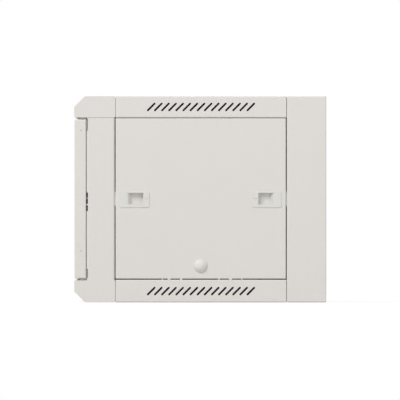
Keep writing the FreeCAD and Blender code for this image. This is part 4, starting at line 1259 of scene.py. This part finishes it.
@dataclass(frozen=True)
class HingeSprings:
    """Coil springs that push the two door pins outwards."""

    wire: float = 0.0004
    wire_sides: int = 8
    coil: float = 0.0031
    turns: int = 6
    steps: int = 20
    shelf_inset: float = 0.012  # of the bracket's shelf from the door's edge
    shelf_gap: float = 0.0009
    length: float = 0.0088
    merge: float = 0.00001
    smooth: float = math.radians(60)

    def build(self, cabinet: "Cabinet") -> None:
        """Makes both springs.

        Args:
            cabinet: The cabinet that they belong to.
        """
        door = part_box("door_frame")
        for level, sign, edge in (("upper", 1, door[1].z), ("lower", -1, door[0].z)):
            low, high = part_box(f"door_pin_{level}")
            foot = edge - sign * self.shelf_inset + sign * self.shelf_gap
            axis = Vector(((low.x + high.x) / 2, (low.y + high.y) / 2, foot))
            cabinet.fit(self.spring(f"pin_spring_{level}", axis, sign), "door", "zinc_steel")

    def spring(self, name: str, foot: Vector, sign: int) -> bpy.types.Object:
        """Makes one spring.

        Args:
            name: Name of the piece.
            foot: Middle of its first coil.
            sign: 1 for upwards, -1 for downwards.

        Returns:
            The spring.
        """
        deselect()
        bpy.ops.mesh.primitive_circle_add(
            vertices=self.wire_sides, radius=self.wire, fill_type="NGON", rotation=(RIGHT_ANGLE, 0, 0),
            location=(self.coil, 0, 0),
        )
        wire = finish_piece(bpy.context.object, name)
        modifier = wire.modifiers.new("coil", "SCREW")
        modifier.axis = "Z"
        modifier.angle = math.radians(360)
        modifier.screw_offset = sign * (self.length - 2 * self.wire) / self.turns
        modifier.iterations = self.turns
        modifier.steps = self.steps
        modifier.render_steps = self.steps
        modifier.use_merge_vertices = True
        modifier.merge_threshold = self.merge
        bpy.ops.object.modifier_apply(modifier=modifier.name)
        wire.location = foot + Vector((0, 0, sign * self.wire))
        finish_piece(wire, name)
        bpy.ops.object.mode_set(mode="EDIT")
        bpy.ops.mesh.select_all(action="SELECT")
        bpy.ops.mesh.fill_holes(sides=self.wire_sides)
        bpy.ops.mesh.select_all(action="SELECT")
        bpy.ops.mesh.normals_make_consistent(inside=False)
        bpy.ops.object.mode_set(mode="OBJECT")
        bpy.ops.object.shade_smooth_by_angle(angle=self.smooth)
        return wire


SUB_ASSEMBLIES = (LockHolePlugs(), PanelNibs(), DoorRivets(), ClampBolts(), EntryPlateScrews(),
                  FrameBolts(), EarthStud(), HingeSprings())


# ---------------------------------------------------------------- the whole cabinet


@dataclass
class Cabinet:
    """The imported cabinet, dressed."""

    materials: dict[str, bpy.types.Material] = field(default_factory=dict)

    def build_materials(self) -> None:
        """Makes one material for each slot of the record."""
        for slot, finish in FINISHES.items():
            self.materials[slot] = finish.build()
            LOG.info("finish %s for slot %s", finish.name, slot)

    def dress(self) -> None:
        """Gives every carried-over node the finish of its slot."""
        for part in frame["record"]["subparts"]:
            node = frame["nodes"][part["node"]]
            for index in range(len(node.material_slots)):
                node.material_slots[index].material = self.materials[part["material_slot"]]
            LOG.info("dressed %s", part["node"])

    def fit(self, piece: bpy.types.Object, body: str, slot: str, *nodes: str) -> None:
        """Puts a new piece on its body, in the finish of its slot.

        Args:
            piece: The new piece, at its place.
            body: Body that it moves with.
            slot: Slot of the record that names its finish.
            nodes: Nodes that it stands for.
        """
        piece.data.materials.clear()
        piece.data.materials.append(self.materials[slot])
        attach(piece, body)
        if nodes:
            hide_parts(*nodes)
        LOG.info("fitted %s on %s", piece.name, body)

    def detail(self) -> None:
        """Adds the fine pieces that stand for plain ones."""
        for assembly in SUB_ASSEMBLIES:
            assembly.build(self)


def main() -> None:
    """Builds and dresses the cabinet and its studio."""
    logging.basicConfig(level=logging.INFO, format="%(message)s")
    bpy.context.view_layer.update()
    cabinet = Cabinet()
    cabinet.build_materials()
    cabinet.dress()
    cabinet.detail()
    Studio().build()
    LOG.info("built the cabinet")


if __name__ == "__main__":
    main()
